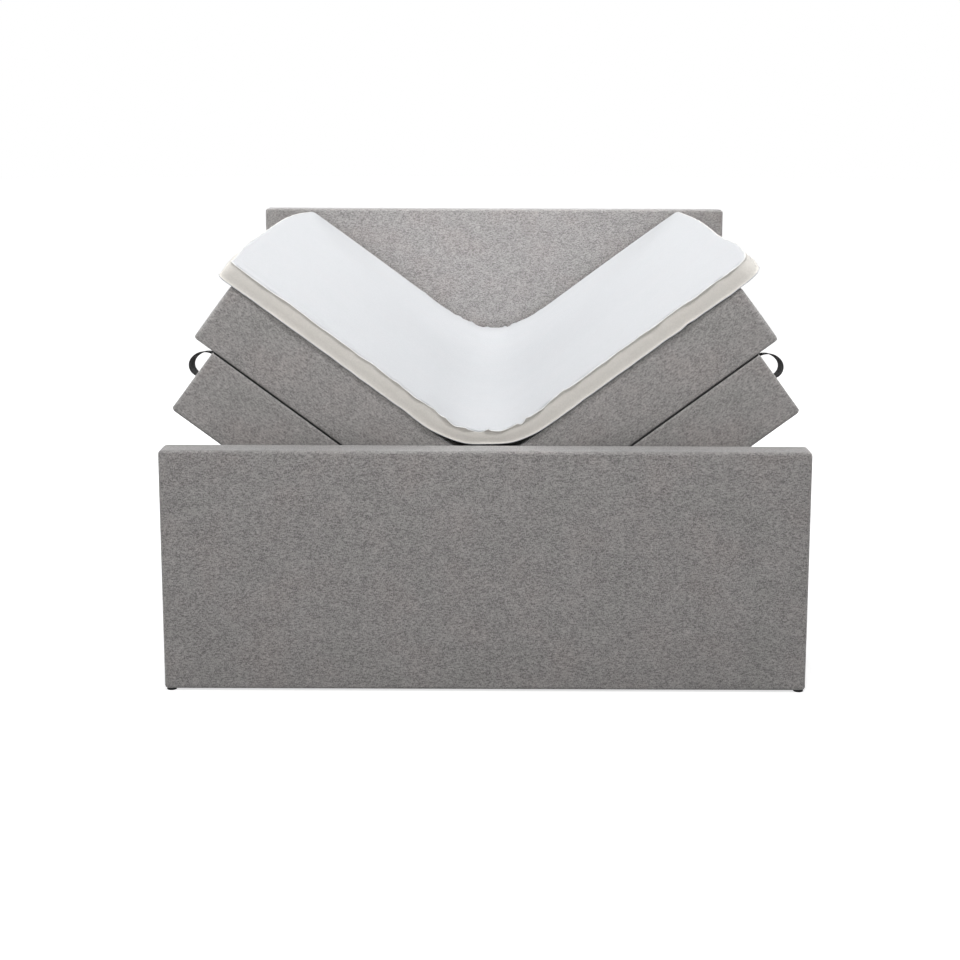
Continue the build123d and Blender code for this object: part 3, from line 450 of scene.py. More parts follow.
# The floor of the storage box and the panels of the two boards: thin hardboard, pressed from wood fibre,
# so it has no grain but a close fleck.


def make_fleck():
    """Small flecks in a plain material, in metres: fine noise, and coarser noise twenty times wider."""
    tree, given = new_group("fine_fleck", {
        "Place": None, "Size": 0.002, "Base": (0.5, 0.5, 0.5, 1), "Fleck": (0.4, 0.4, 0.4, 1),
        "Amount": 0.5}, ("Color", "Value", "Height"))
    size = new_node(tree, "ShaderNodeCombineXYZ", dict.fromkeys(range(3), given["Size"]))
    place = new_node(tree, "ShaderNodeVectorMath", {0: given["Place"], 1: size.outputs[0]},
                     operation="DIVIDE").outputs[0]
    fine, broad = [
        new_node(tree, "ShaderNodeTexNoise", {"Vector": place, "Scale": scale, "Detail": detail}).outputs[0]
        for scale, detail in ((1.0, 1.0), (0.05, 2.0))]
    mixed = calculate(tree, "MULTIPLY_ADD", broad, 0.4, calculate(tree, "MULTIPLY", fine, 0.6))
    share = calculate(tree, "MULTIPLY", stretch(tree, mixed, 0.36, 0.64), given["Amount"])
    colour = blend_colours(tree, share, given["Base"], given["Fleck"])
    new_node(tree, "NodeGroupOutput", {"Color": colour, "Value": mixed, "Height": fine})
    return tree


FLECK = make_fleck()


def flecked(name, base, fleck, size, amount, roughness, relief, depth, spread=0.0, turn=(0, 0, 0),
            **settings):
    """A plain material with flecks. spread is how far the roughness varies with them."""
    values = {"Size": size, "Base": base, "Fleck": fleck, "Amount": amount}
    material, tree, shader, grains = patterned(name, FLECK, values, roughness, relief, depth, turn,
                                               **settings)
    if spread:
        varied = stretch(tree, grains.outputs["Value"], 0.3, 0.7, roughness - spread, roughness + spread)
        tree.links.new(varied, shader.inputs["Roughness"])
    return material


HARDBOARD = flecked("pressed_hardboard", (0.50, 0.38, 0.25, 1), (0.36, 0.26, 0.16, 1), 0.0018, 0.8,
                    0.6, 0.2, 0.0003)
finish_nodes(HARDBOARD, "panel_wood", "floor_panels", "footboard_panels", "headboard_panels")

# The glides under the battens and boards are moulded black plastic. The stops that the closed lids come
# to rest on are black rubber.
GLIDE_PLASTIC = flecked("black_glide_plastic", (0.022, 0.022, 0.023, 1), (0.03, 0.03, 0.031, 1), 0.0008, 0.5,
                        0.55, 0.15, 0.0001)
STOP_RUBBER = flecked("black_stop_rubber", (0.026, 0.026, 0.026, 1), (0.04, 0.04, 0.039, 1), 0.0012, 0.6,
                      0.85, 0.25, 0.0002)
finish_nodes(GLIDE_PLASTIC, "foot_plastic", "feet")
finish_nodes(STOP_RUBBER, "buffer_rubber", "lid_buffers")

# The ironwork: pivot brackets and lid plates are cut from steel plate and powder-coated black. Pins,
# bolts, spacers, screws and studs are turned or headed steel, zinc-plated.
POWDER_BLACK = flecked("black_powder_coat", (0.024, 0.024, 0.025, 1), (0.034, 0.034, 0.035, 1), 0.0006, 0.6,
                       0.46, 0.3, 0.0001, 0.05, Coat_Weight=0.1, Coat_Roughness=0.4)
ZINC = flecked("zinc_plating", (0.60, 0.60, 0.58, 1), (0.50, 0.50, 0.49, 1), 0.0030, 0.7,
               0.34, 0.1, 0.0001, 0.08, Metallic=1.0)
finish_nodes(POWDER_BLACK, "black_steel", "pivot_brackets")
finish_nodes(ZINC, "zinc_steel", "pivot_pins", "board_bolts", "board_spacers", "bracket_screws",
             "gas_spring_studs")

# The two lids: a box of boards with sprung and foam-topped padding, covered like the head board but in a
# copy of its cloth painted about a tenth lighter, as painted light for their brighter fronts. They stand
# open here, turned about the pivots at their foot and head ends.
TURN = math.radians(36.7)
PIVOT_X, PIVOT_Z = 0.163, 0.556
LID_X, LID_Z = (0.002, 0.902), (0.3128, 0.5157)
LID_HALF_LENGTH = 1.000
# the head board's cloth painted about a tenth lighter: painted light on the lids and mattresses
LID_CLOTH_PAINTED_LIGHTER = woven_cloth("lid_melange_cloth_painted_lighter", (0.176, 0.1683, 0.1653, 1), (0.612, 0.585, 0.573, 1))
LID_EDGE_RADIUS = 0.0048
LID_CORNER_RADIUS = 0.013
LID_CELL = 0.025
LID_TUCK = 0.0015
LID_DRAWN_IN = 0.0008


def half_and_middle(limits):
    """Half the distance between two limits, and their middle."""
    return (limits[1] - limits[0]) / 2, (limits[1] + limits[0]) / 2


def turned_open(side, points, middle_x=0.0, slide=0.0):
    """Points of the closed half of the bed, turned about the lid's pivot and slid outwards on it.

    The points are set out from the middle of their piece."""
    x, y, z = points[:, 0] + middle_x, points[:, 1], points[:, 2]
    out_x = (x - PIVOT_X) * math.cos(TURN) - (z - PIVOT_Z) * math.sin(TURN) + slide * math.cos(TURN)
    up_z = (x - PIVOT_X) * math.sin(TURN) + (z - PIVOT_Z) * math.cos(TURN) + slide * math.sin(TURN)
    return np.stack((side * (PIVOT_X + out_x), y, PIVOT_Z + up_z), -1)


def tuck_ends(points, place, half_x, depth):
    """Draws the two end walls of a form in: depth times 1 less the square of the share of half_x."""
    tuck = depth * (1 - (points[:, 0] / half_x) ** 2) * (place["row"] >= 0)
    points[:, 1] -= np.sign(points[:, 1]) * tuck * (np.abs(place["away"][:, 1]) > 0.5)


for side_name, side in SIDES:
    half_x, middle_x = half_and_middle(LID_X)
    points, quads, uv, place = rounded_slab(half_x, LID_HALF_LENGTH, LID_Z, LID_EDGE_RADIUS,
                                            LID_CORNER_RADIUS, LID_CELL)
    tuck_ends(points, place, half_x, LID_TUCK)
    waves = drift_waves(points[:, 0] + points[:, 2], points[:, 1] + 3 * points[:, 2], 71 + side)
    points[:, :2] -= place["away"] * (np.abs(LID_DRAWN_IN * waves) * (place["row"] >= 0))[:, None]
    lid_cover = new_mesh(f"lid_upholstery_{side_name}", turned_open(side, points, middle_x),
                         *facing_out(side, quads, uv), [LID_CLOTH_PAINTED_LIGHTER])
    subdivide(lid_cover)
    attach(lid_cover, f"lid_{side_name}")
    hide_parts(f"lid_cover_{side_name}")

# Black anti-slip felt is glued on each lid, a little inside its edges. It keeps the mattress from creeping
# down the open lid, and shows as a black line between the two: partly the felt's own black, partly painted
# shade standing in for the shadow in the gap.
FELT_Z = (0.5150, 0.5186)
FELT_INSET = 0.0035
FELT_EDGE_RADIUS = 0.001
FELT_CORNER_RADIUS = 0.009
FLAT_CELL = 0.10


def soft_sheet_cloth(name, colour, fleck, size, relief):
    """Non-woven cloth: matted fibres as flecks in the piece's own UV map, in metres."""
    return flecked(name, colour, fleck, size, 0.8, 0.95, relief, 0.0004, turn=None, Specular_IOR_Level=0.2)


BLACK_FELT_AND_GAP_SHADE = soft_sheet_cloth("black_felt_and_gap_shade", (0.020, 0.020, 0.020, 1), (0.032, 0.032, 0.032, 1), 0.0012, 0.4)
for side_name, side in SIDES:
    half_x, middle_x = half_and_middle(LID_X)
    half_x, half_length = half_x - FELT_INSET, LID_HALF_LENGTH - FELT_INSET
    points, quads, uv, _ = rounded_slab(half_x, half_length, FELT_Z, FELT_EDGE_RADIUS,
                                        FELT_CORNER_RADIUS, FLAT_CELL, 2)
    felt = new_mesh(f"anti_slip_felt_and_gap_shade_{side_name}", turned_open(side, points, middle_x),
                    *facing_out(side, quads, uv), [BLACK_FELT_AND_GAP_SHADE])
    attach(felt, f"lid_{side_name}")

# Inside each lid: the pine frame and cross slats, on which the pocket springs stand.
for side_name, side in SIDES:
    slat_pine = timber(f"lid_slat_pine_{side_name}", (0, side * TURN, 0), PINE_EARLY, PINE_LATE)
    frame_pine = timber(f"lid_frame_pine_{side_name}", ALONG_BED, PINE_EARLY, PINE_LATE)
    finish_nodes(slat_pine, "board_wood", f"lid_slats_{side_name}")
    finish_nodes(frame_pine, "board_wood", f"lid_frame_{side_name}")

# The lid's pocket springs: each coil is sewn into its own pocket of pale non-woven cloth, pressed to a
# barrel, and the pockets are glued into strips. A foam sheet lies over them.
PALE_POCKET = soft_sheet_cloth("pocket_cloth", (0.66, 0.66, 0.65, 1), (0.54, 0.54, 0.53, 1), 0.0015, 0.3)
PALE_FOAM = flecked("pale_foam", (0.80, 0.76, 0.62, 1), (0.68, 0.63, 0.49, 1), 0.0016, 0.5,
                    0.95, 0.35, 0.0005)
LID_SPRINGS = ((0.0383, 0.8657), 10, 24, 0.04062, 0.077990, (0.3461, 0.4824))
LID_FOAM = ((0.0383, 0.8657), 0.9637, (0.4827, 0.5087))
FOAM_EDGE_RADIUS = 0.004
FOAM_CORNER_RADIUS = 0.008


def pocket_rows(x_limits, strips, count, radius, pitch, z_limits, around=12):
    """Rows of pocket springs as closed barrels.

    One barrel is a ring carried up a profile, which gives its width as a share of the radius at
    shares of half its height. It is closed at both ends, and copied to each place of the grid as
    one array."""
    shares, widths = np.array([(-0.98, 0.80), (-0.6, 0.95), (0.0, 0.995), (0.6, 0.95), (0.98, 0.80)]).T
    levels = len(shares)
    half_x, middle_x = half_and_middle(x_limits)
    half_z, middle_z = half_and_middle(z_limits)
    turn = np.linspace(0, 2 * math.pi, around + 1)[:-1]
    widths, heights = widths[:, None] * radius, middle_z + half_z * shares[:, None]
    rings = np.stack((widths * np.cos(turn), widths * np.sin(turn),
                      np.broadcast_to(heights, (levels, around))), -1).reshape(-1, 3)
    barrel = np.concatenate((rings, [(0, 0, z_limits[0]), (0, 0, z_limits[1])]))
    numbers = np.arange(levels * around).reshape(levels, around)
    first, second, third = numbers[:, ::2], numbers[:, 1::2], np.roll(numbers[:, ::2], -1, 1)
    low_end, high_end = [np.full(around // 2, levels * around + end) for end in (0, 1)]
    faces = np.concatenate((ring_quads(numbers), np.stack((low_end, third[0], second[0], first[0]), -1),
                            np.stack((high_end, first[-1], second[-1], third[-1]), -1)))
    xs = middle_x + (np.arange(strips) - (strips - 1) / 2) * (2 * half_x / strips)
    ys = (np.arange(count) - (count - 1) / 2) * pitch
    grid_x, grid_y = np.meshgrid(xs, ys, indexing="ij")
    shift = np.stack((grid_x.ravel(), grid_y.ravel(), np.zeros(grid_x.size)), -1)
    points = (barrel[None] + shift[:, None]).reshape(-1, 3)
    quads = (faces[None] + (np.arange(len(shift)) * len(barrel))[:, None, None]).reshape(-1, 4)
    corners = points[quads]
    return points, quads, np.stack((corners[..., 1] + corners[..., 0], corners[..., 2]), -1)


def foam_slab(x_limits, half_length, z_limits):
    """A slab of foam with softened edges, as a wrapped form without a cover."""
    half_x, middle_x = half_and_middle(x_limits)
    points, quads, uv, _ = rounded_slab(half_x, half_length, z_limits, FOAM_EDGE_RADIUS,
                                        FOAM_CORNER_RADIUS, FLAT_CELL, 2)
    points[:, 0] += middle_x
    return points, quads, uv


def place_filling(name, side, form, slide, material, body, node):
    """Turns a filling open with its half of the bed and puts it in the place of its CAD node."""
    points, *faces = form
    filling = new_mesh(name, turned_open(side, points, slide=slide), *facing_out(side, *faces), [material])
    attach(filling, body)
    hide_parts(node)


for side_name, side in SIDES:
    place_filling(f"lid_pocket_springs_{side_name}", side, pocket_rows(*LID_SPRINGS), 0.0, PALE_POCKET,
                  f"lid_{side_name}", f"lid_springs_{side_name}")
    place_filling(f"lid_foam_sheet_{side_name}", side, foam_slab(*LID_FOAM), 0.0, PALE_FOAM,
                  f"lid_{side_name}", f"lid_foam_{side_name}")

# The dust cloth under each lid: black non-woven polypropylene, its edge folded in and stapled to the
# frame all round. It is drawn tight, and puckers a little at each staple. The rubber buffers press it
# flat where the closed lid stands on them, and no staple sits there.
DUST_CLOTH_X = (0.0103, 0.8937)
DUST_CLOTH_HALF_LENGTH = 0.9917
DUST_CLOTH_Z = (0.3117, 0.3125)
HEM_WIDTH = 0.014
STAPLE_PITCH = 0.085
STAPLE_INSET = 0.008
BUFFER_PLACES = np.array([(0.8895, y) for y in (-0.927, 0.0, 0.927)])
DUST_CLOTH_FOLD = 0.0002
DUST_CLOTH_CORNER = 0.0032
DUST_CLOTH_CELL = 0.017
DUST_CLOTH_HANG = 0.0007
PUCKER_DEPTH, PUCKER_START, PUCKER_REACH = 0.0007, 0.01, 0.05
SLACK_DEPTH = 0.0010
HEM_DEPTH = 0.0004
BUFFER_PRESSED, BUFFER_FREE = 0.034, 0.02
BUFFER_LIFT = 0.0002
STAPLE_HALF_SIZE = (0.0055, 0.0006, 0.0004)
STAPLE_BELOW = 0.0012
STAPLE_CLEARANCE = 0.040
DUST_CLOTH = soft_sheet_cloth("black_dust_cloth", (0.016, 0.016, 0.016, 1), (0.034, 0.034, 0.034, 1),
                              0.0016, 0.5)


def from_buffers(spots):
    """How far each spot under the lid is from the nearest buffer."""
    return np.linalg.norm(spots[:, None] - BUFFER_PLACES, axis=-1).min(1)


def staple_row(places, headings, z):
    """Flat staple crowns: one box of eight corners, turned along its heading, at each place."""
    signs = np.array([(a, b, c) for a in (-1, 1) for b in (-1, 1) for c in (-1, 1)])
    corner = signs * STAPLE_HALF_SIZE
    faces = np.array([(0, 1, 3, 2), (4, 6, 7, 5), (0, 4, 5, 1), (2, 3, 7, 6), (0, 2, 6, 4), (1, 5, 7, 3)])
    turned_x = corner[:, 0] * headings[:, None, 0] - corner[:, 1] * headings[:, None, 1]
    turned_y = corner[:, 0] * headings[:, None, 1] + corner[:, 1] * headings[:, None, 0]
    flat = np.stack((places[:, None, 0] + turned_x, places[:, None, 1] + turned_y,
                     np.broadcast_to(z + corner[:, 2], turned_x.shape)), -1).reshape(-1, 3)
    quads = (faces[None] + (np.arange(len(places)) * 8)[:, None, None]).reshape(-1, 4)
    return flat, quads, flat[quads][..., :2]


for side_name, side in SIDES:
    half_x, middle_x = half_and_middle(DUST_CLOTH_X)
    points, quads, uv, _ = rounded_slab(half_x, DUST_CLOTH_HALF_LENGTH, DUST_CLOTH_Z, DUST_CLOTH_FOLD,
                                        DUST_CLOTH_CORNER, DUST_CLOTH_CELL, 1)
    share_x, share_y = points[:, 0] / half_x, points[:, 1] / DUST_CLOTH_HALF_LENGTH
    gap_x, gap_y = half_x - np.abs(points[:, 0]), DUST_CLOTH_HALF_LENGTH - np.abs(points[:, 1])
    gap = np.minimum(gap_x, gap_y)
    along = np.where(gap_x < gap_y, points[:, 1], points[:, 0])
    fading = np.exp(-gap / PUCKER_REACH) * np.clip(gap / PUCKER_START, 0, 1)
    pucker = PUCKER_DEPTH * np.cos(2 * math.pi * along / STAPLE_PITCH) * fading
    slack = SLACK_DEPTH * (1 - share_x ** 4) * (1 - share_y ** 4)
    free = np.clip((from_buffers(points[:, :2] + (middle_x, 0)) - BUFFER_PRESSED) / BUFFER_FREE, 0, 1)
    hem = HEM_DEPTH * (gap < HEM_WIDTH)
    drop = free * (pucker + slack + hem + DUST_CLOTH_HANG) - (1 - free) * BUFFER_LIFT
    points[:, 2] -= np.where(points[:, 2] < DUST_CLOTH_Z[1] - DUST_CLOTH_FOLD / 2, drop, 0)
    dust_cloth = new_mesh(f"dust_cloth_{side_name}", turned_open(side, points, middle_x),
                          *facing_out(side, quads, uv), [DUST_CLOTH])
    halves = (half_x, DUST_CLOTH_HALF_LENGTH)
    row_x, row_y = [np.linspace(2 * STAPLE_INSET - half, half - 2 * STAPLE_INSET,
                                round(2 * (half - STAPLE_INSET) / STAPLE_PITCH)) for half in halves]
    edge_x, edge_y = [half - STAPLE_INSET for half in halves]
    spots = np.concatenate([np.stack(np.broadcast_arrays(row_x, a * edge_y), -1) for a in (-1, 1)]
                           + [np.stack(np.broadcast_arrays(a * edge_x, row_y), -1) for a in (-1, 1)])
    headings = np.repeat(np.eye(2), (2 * len(row_x), 2 * len(row_y)), axis=0)
    clear = from_buffers(spots + (middle_x, 0)) > STAPLE_CLEARANCE
    flat, quads, uv = staple_row(spots[clear], headings[clear], DUST_CLOTH_Z[0] - STAPLE_BELOW)
    staples = new_mesh(f"dust_cloth_staples_{side_name}", turned_open(side, flat, middle_x),
                       *facing_out(side, quads, uv), [ZINC])
    staples.data.polygons.foreach_set("use_smooth", np.zeros(len(staples.data.polygons), bool))
    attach(dust_cloth, f"lid_{side_name}")
    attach(staples, f"lid_{side_name}")
    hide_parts(f"lid_cloth_{side_name}")

# The handle of each lid: a loop of black polyamide webbing with ribs along it, drawn through two slots
# and held inside by steel clamps. It stands off the lid's outer side near the foot end.
STRAP_Y = (-0.955, -0.905)
STRAP_THICKNESS = 0.003
STRAP_HIGH, STRAP_LOW = 0.502, 0.425
STRAP_REACH = (0.9385, 0.4558)
STRAP_UPPER = (0.04749, 76.6)
STRAP_LOWER = (0.03125, 99.7)
STRAP_TAIL_X, STRAP_SLOT_INSET = 0.8690, 0.002
STRAP_TWIST = -0.0040


def make_ribs():
    """Webbing, in metres: ribs are a sine across the strap, and the weft crosses them in a chequer. The
    colour follows the height: painted highlight on the crests and painted shade in the hollows.
    """
    tree, given = new_group("webbing_ribs", {
        "Cloth": None, "Rib": 0.0022, "Base": (0.03, 0.03, 0.03, 1), "Crest_Highlight": (0.1, 0.1, 0.1, 1)},
        ("Color", "Height"))
    split = new_node(tree, "ShaderNodeSeparateXYZ", {0: given["Cloth"]}).outputs[:2]
    along, across = [calculate(tree, "DIVIDE", value, given["Rib"]) for value in split]
    rib = calculate(tree, "SINE", calculate(tree, "MULTIPLY", across, 2 * math.pi))
    shift = calculate(tree, "MULTIPLY", calculate(tree, "FLOOR", across), math.pi)
    weft = calculate(tree, "SINE", calculate(tree, "MULTIPLY_ADD", along, 2 * math.pi, shift))
    height = calculate(tree, "MULTIPLY_ADD", weft, 0.25, calculate(tree, "MULTIPLY_ADD", rib, 0.25, 0.5))
    colour = blend_colours(tree, stretch(tree, height, 0.2, 0.9), given["Base"], given["Crest_Highlight"])
    new_node(tree, "NodeGroupOutput", {"Color": colour, "Height": height})
    return tree


# the ribs' crests are painted lighter than their hollows: painted highlight and painted shade
WEBBING = patterned(
    "black_webbing", make_ribs(), {"Base": (0.012, 0.012, 0.013, 1), "Crest_Highlight": (0.05, 0.05, 0.053, 1)}, 0.55,
    relief=0.8, depth=0.0008, Sheen_Weight=0.3, Sheen_Roughness=0.4, Specular_IOR_Level=0.45)[0]


def strap_form(path, y_limits, thickness, twist):
    """A flat strap carried along a side view path: a rectangle with rounded edges, turned with the path.

    The direction at a point is the chord of its neighbours, and the section stands square to it. The
    strap twists: its two edges part from the path by twist times a sine of the share of its length."""
    chord = np.gradient(path, axis=0)
    heading = chord / np.linalg.norm(chord, axis=1, keepdims=True)
    square = np.stack((-heading[:, 1], heading[:, 0]), -1)
    half_y, middle_y = half_and_middle(y_limits)
    half_thick = thickness / 2
    top = np.stack((np.linspace(-1, 1, 9) * (half_y - half_thick), np.full(9, half_thick)), -1)
    bow_y, bow_z = half_y - half_thick * 0.3, half_thick * 0.7
    bow = np.array([(bow_y, bow_z), (half_y, 0.0), (bow_y, -bow_z)])
    section = np.concatenate((top, bow, -top, -bow))
    count, around = len(path), len(section)
    lean = twist * np.sin(np.linspace(0, math.pi, count))[:, None] * (section[:, 0] / half_y)[None]
    centre = path[:, None] + square[:, None] * (section[None, :, 1] + lean)[..., None]
    points = np.stack((centre[..., 0], np.broadcast_to(middle_y + section[:, 0], (count, around)),
                       centre[..., 1]), -1).reshape(-1, 3)
    girth = lengths_along(np.concatenate((section, section[:1])))
    numbers = np.arange(count * around).reshape(count, around)
    uv = ring_cloth(girth, lengths_along(path))[..., ::-1]
    return points, ring_quads(numbers), uv, np.stack((numbers[0, ::-1], numbers[-1]))


def strap_arc(radius, degrees):
    """Points of the loop's arc above or below its furthest reach, at angles from there."""
    turn = np.radians(degrees)
    return np.stack((STRAP_REACH[0] - radius * (1 - np.cos(turn)),
                     STRAP_REACH[1] + radius * np.sin(turn)), -1)


tail_steps = np.linspace(STRAP_TAIL_X, LID_X[1] - STRAP_SLOT_INSET, 4)
loop_path = np.concatenate((
    np.stack((tail_steps, np.full(4, STRAP_HIGH)), -1),
    strap_arc(STRAP_UPPER[0], np.linspace(STRAP_UPPER[1], 0, 16)),
    strap_arc(STRAP_LOWER[0], np.linspace(0, -STRAP_LOWER[1], 18)[1:]),
    np.stack((tail_steps[::-1], np.full(4, STRAP_LOW)), -1)))
for side_name, side in SIDES:
    points, quads, uv, caps = strap_form(loop_path, STRAP_Y, STRAP_THICKNESS, STRAP_TWIST)
    strap = new_mesh(f"lid_pull_strap_{side_name}", turned_open(side, points), *facing_out(-side, quads, uv),
                     [WEBBING], caps=caps[:, ::-side])
    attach(strap, f"lid_{side_name}")
    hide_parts(f"lid_handle_{side_name}")

# The lid's ironwork: pivot plates on both ends, brackets for the gas springs under it, and the clamps
# that hold the handle's ends.
for side_name, side in SIDES:
    finish_nodes(POWDER_BLACK, "black_steel", f"lid_pivot_plates_{side_name}",
                 f"gas_spring_brackets_{side_name}")
    finish_nodes(ZINC, "zinc_steel", f"handle_clamps_{side_name}")

# The gas springs: black painted tubes and hard chromed rods. The chrome has a faint fleck.
TUBE_BLACK = flecked("gas_tube_paint", (0.015, 0.015, 0.016, 1), (0.021, 0.021, 0.022, 1), 0.0005, 0.5,
                     0.3, 0.15, 0.0001, 0.04, Coat_Weight=0.4, Coat_Roughness=0.15)
ROD_CHROME = flecked("rod_chrome_plate", (0.72, 0.73, 0.74, 1), (0.66, 0.67, 0.68, 1), 0.0004, 0.5,
                     0.10, 0.05, 0.00005, 0.04, Metallic=1.0)
for side_name, side in SIDES:
    finish_nodes(TUBE_BLACK, "black_steel", f"gas_cylinders_{side_name}")
    finish_nodes(ROD_CHROME, "rod_chrome", f"gas_rods_{side_name}")

# The two mattresses: pocket springs between foam sheets in a zipped cover of the same melange cloth,
# crowned on top, with a black anti-slip underside. The black runs on up over the lower rounded edge as
# painted shade, widening the dark line at the gap to the lid. Each is pushed outwards on its lid as the lid
# opens.
MATTRESS_X, MATTRESS_Z = (0.004, 0.900), (0.5187, 0.702)
MATTRESS_HALF_LENGTH = 0.9955
MATTRESS_SLIDE = 0.070
MATTRESS_CROWN = 0.008
MATTRESS_EDGE_RADIUS = 0.0045
MATTRESS_CORNER_RADIUS = 0.014
MATTRESS_SWELL = 0.003
MATTRESS_TUCK = 0.003
SWELL_SETTINGS = {"quality": 4, "mass": 0.25, "tension_stiffness": 25, "compression_stiffness": 25,
                  "bending_stiffness": 2.0, "use_pressure": True, "uniform_pressure_force": 4.0,
                  "vertex_group_mass": "held"}
SWELL_FRAMES = 20
MATTRESS_FOAM = ((0.0143, 0.8897), 0.9887, ((0.5276, 0.5526), (0.6667, 0.6917)))
MATTRESS_SPRINGS = ((0.0143, 0.8897), 10, 23, 0.04302, 0.0825984, (0.5529, 0.6664))


def vertex_places(mesh):
    """The places of a mesh's vertices, as rows of three."""
    places = np.empty(len(mesh.vertices) * 3)
    mesh.vertices.foreach_get("co", places)
    return places.reshape(-1, 3)


def swell(piece, held, furthest):
    """Blows a closed cover up against its filling with Blender's cloth, without gravity.

    The held points stay. Each other point moves by furthest times the hyperbolic tangent of its
    simulated move over furthest, so that no point passes that limit."""
    mesh = piece.data
    before = vertex_places(mesh)
    holding = piece.vertex_groups.new(name="held")
    holding.add(np.flatnonzero(held).tolist(), 1.0, "REPLACE")
    cloth = piece.modifiers.new("swell", "CLOTH")
    for key, value in SWELL_SETTINGS.items():
        setattr(cloth.settings, key, value)
    cloth.settings.effector_weights.gravity = 0
    cloth.point_cache.frame_start, cloth.point_cache.frame_end = 1, SWELL_FRAMES
    for frame_number in range(1, SWELL_FRAMES + 1):
        bpy.context.scene.frame_set(frame_number)
    after = vertex_places(piece.evaluated_get(bpy.context.evaluated_depsgraph_get()).data)
    piece.modifiers.remove(cloth)
    piece.vertex_groups.remove(holding)
    bpy.context.scene.frame_set(1)
    move = after - before
    reach = np.maximum(np.linalg.norm(move, axis=1, keepdims=True), 1e-9)
    mesh.vertices.foreach_set("co", (before + move / reach * furthest * np.tanh(reach / furthest)).ravel())
    mesh.update()


for side_name, side in SIDES:
    half_x, middle_x = half_and_middle(MATTRESS_X)
    points, quads, uv, place = rounded_slab(half_x, MATTRESS_HALF_LENGTH, MATTRESS_Z, MATTRESS_EDGE_RADIUS,
                                            MATTRESS_CORNER_RADIUS, LID_CELL)
    share_x, share_y = points[:, 0] / half_x, points[:, 1] / MATTRESS_HALF_LENGTH
    crown = MATTRESS_CROWN * (1 - share_x ** 2) * (1 - share_y ** 2 / 2)
    height_share = np.clip((points[:, 2] - MATTRESS_Z[0]) / (MATTRESS_Z[1] - MATTRESS_Z[0]), 0, 1)
    points[:, 2] += crown * height_share ** 4
    tuck_ends(points, place, half_x, MATTRESS_TUCK)
    world = turned_open(side, points, middle_x, MATTRESS_SLIDE)
    # black on the underside, and as painted shade on the lower rounded edge next to the lid
    black_underside_and_gap_shade = np.isin(place["wall_row"], (-1, 0))
    mattress = new_mesh(f"mattress_ticking_{side_name}", world, *facing_out(side, quads, uv),
                        [LID_CLOTH_PAINTED_LIGHTER, BLACK_FELT_AND_GAP_SHADE], black_underside_and_gap_shade)
    swell(mattress, place["row"] <= 2, MATTRESS_SWELL)
    subdivide(mattress)
    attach(mattress, f"mattress_{side_name}")
    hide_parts(f"mattress_cover_{side_name}")
    place_filling(f"mattress_pocket_springs_{side_name}", side, pocket_rows(*MATTRESS_SPRINGS),
                  MATTRESS_SLIDE, PALE_POCKET, f"mattress_{side_name}",
                  f"mattress_springs_{side_name}")
    for level, foam_z in zip(("low", "high"), MATTRESS_FOAM[2]):
        place_filling(f"mattress_foam_{level}_{side_name}", side,
                      foam_slab(MATTRESS_FOAM[0], MATTRESS_FOAM[1], foam_z), MATTRESS_SLIDE, PALE_FOAM,
                      f"mattress_{side_name}", f"mattress_foam_{side_name}")

# The topper: one slab of soft foam in a white stretch cover with a cream side band. The cover is sewn
# with a narrow flange along both edges of the band. It bends over the middle of the bed, and is made
# here as two halves that meet there, so that each can follow its own lid.
TOPPER_HALF_WIDTH = 0.900
TOPPER_HALF_LENGTH = 1.000
TOPPER_THICKNESS = 0.060
TOPPER_BOTTOM = 0.7105
TOPPER_BEND_RADIUS = 0.303
TOPPER_CORNER_RADIUS = 0.016
TOPPER_CELL = 0.011
TOPPER_SQUEEZE = 0.017
FLAP_PIVOT_X, FLAP_PIVOT_Z = 0.100078, 0.745704
BEND_CENTRE_Z = 1.0051
BEND_MIDDLE_RADIUS = TOPPER_BEND_RADIUS - TOPPER_THICKNESS / 2
BEND_CLOSED_X = BEND_MIDDLE_RADIUS * TURN
PANEL_INSET = 0.012
# the wall's profile, and the kinks of its upper seam: each one's place, half width and height
TOPPER_PROFILE = [
    (0.0000, 0.0000), (0.0060, 0.0002), (0.0112, 0.0004), (0.0130, 0.0016), (0.0118, 0.0032),
    (0.0100, 0.0050), (0.0094, 0.0110), (0.0102, 0.0210), (0.0107, 0.0310), (0.0102, 0.0410),
    (0.0098, 0.0460), (0.0102, 0.0497), (0.0116, 0.0520), (0.0132, 0.0534), (0.0141, 0.0548),
    (0.0131, 0.0559), (0.0108, 0.0562), (0.0096, 0.0576), (0.0064, 0.0594), (0.0000, 0.0600),
]
UPPER_KINKS = (
    (-0.300, 0.020, 0.0030), (-0.235, 0.024, -0.0030), (-0.175, 0.018, 0.0032), (-0.128, 0.016, 0.0058),
    (-0.094, 0.022, -0.0052), (-0.064, 0.015, 0.0060), (-0.020, 0.022, -0.0074), (0.007, 0.010, 0.0080),
    (0.045, 0.026, -0.0034), (0.092, 0.012, 0.0062), (0.109, 0.013, -0.0062), (0.130, 0.012, 0.0064),
    (0.190, 0.020, -0.0030), (0.260, 0.022, 0.0032))
LOWER_PINCH = (0.665, 0.014)
# creases along the foot end: depth, distance from the edge, width, place across the bed and half width
FOOT_CREASES = ((0.0060, 0.016, 0.011, -0.75, 0.10), (0.0036, 0.022, 0.009, -0.56, 0.16),
                (0.0030, 0.044, 0.009, -0.56, 0.16))
# the first one's slant: its slope, where it begins and how far it runs
FOOT_SLANT = (0.26, 0.64, 0.25)
# how far the upper and the lower seam wave outwards and upwards, and the share left on the long side
UPPER_WAVE, LOWER_WAVE, LONG_SIDE_WAVE = (0.0016, 0.0012), (0.0010, 0.0006), 0.35
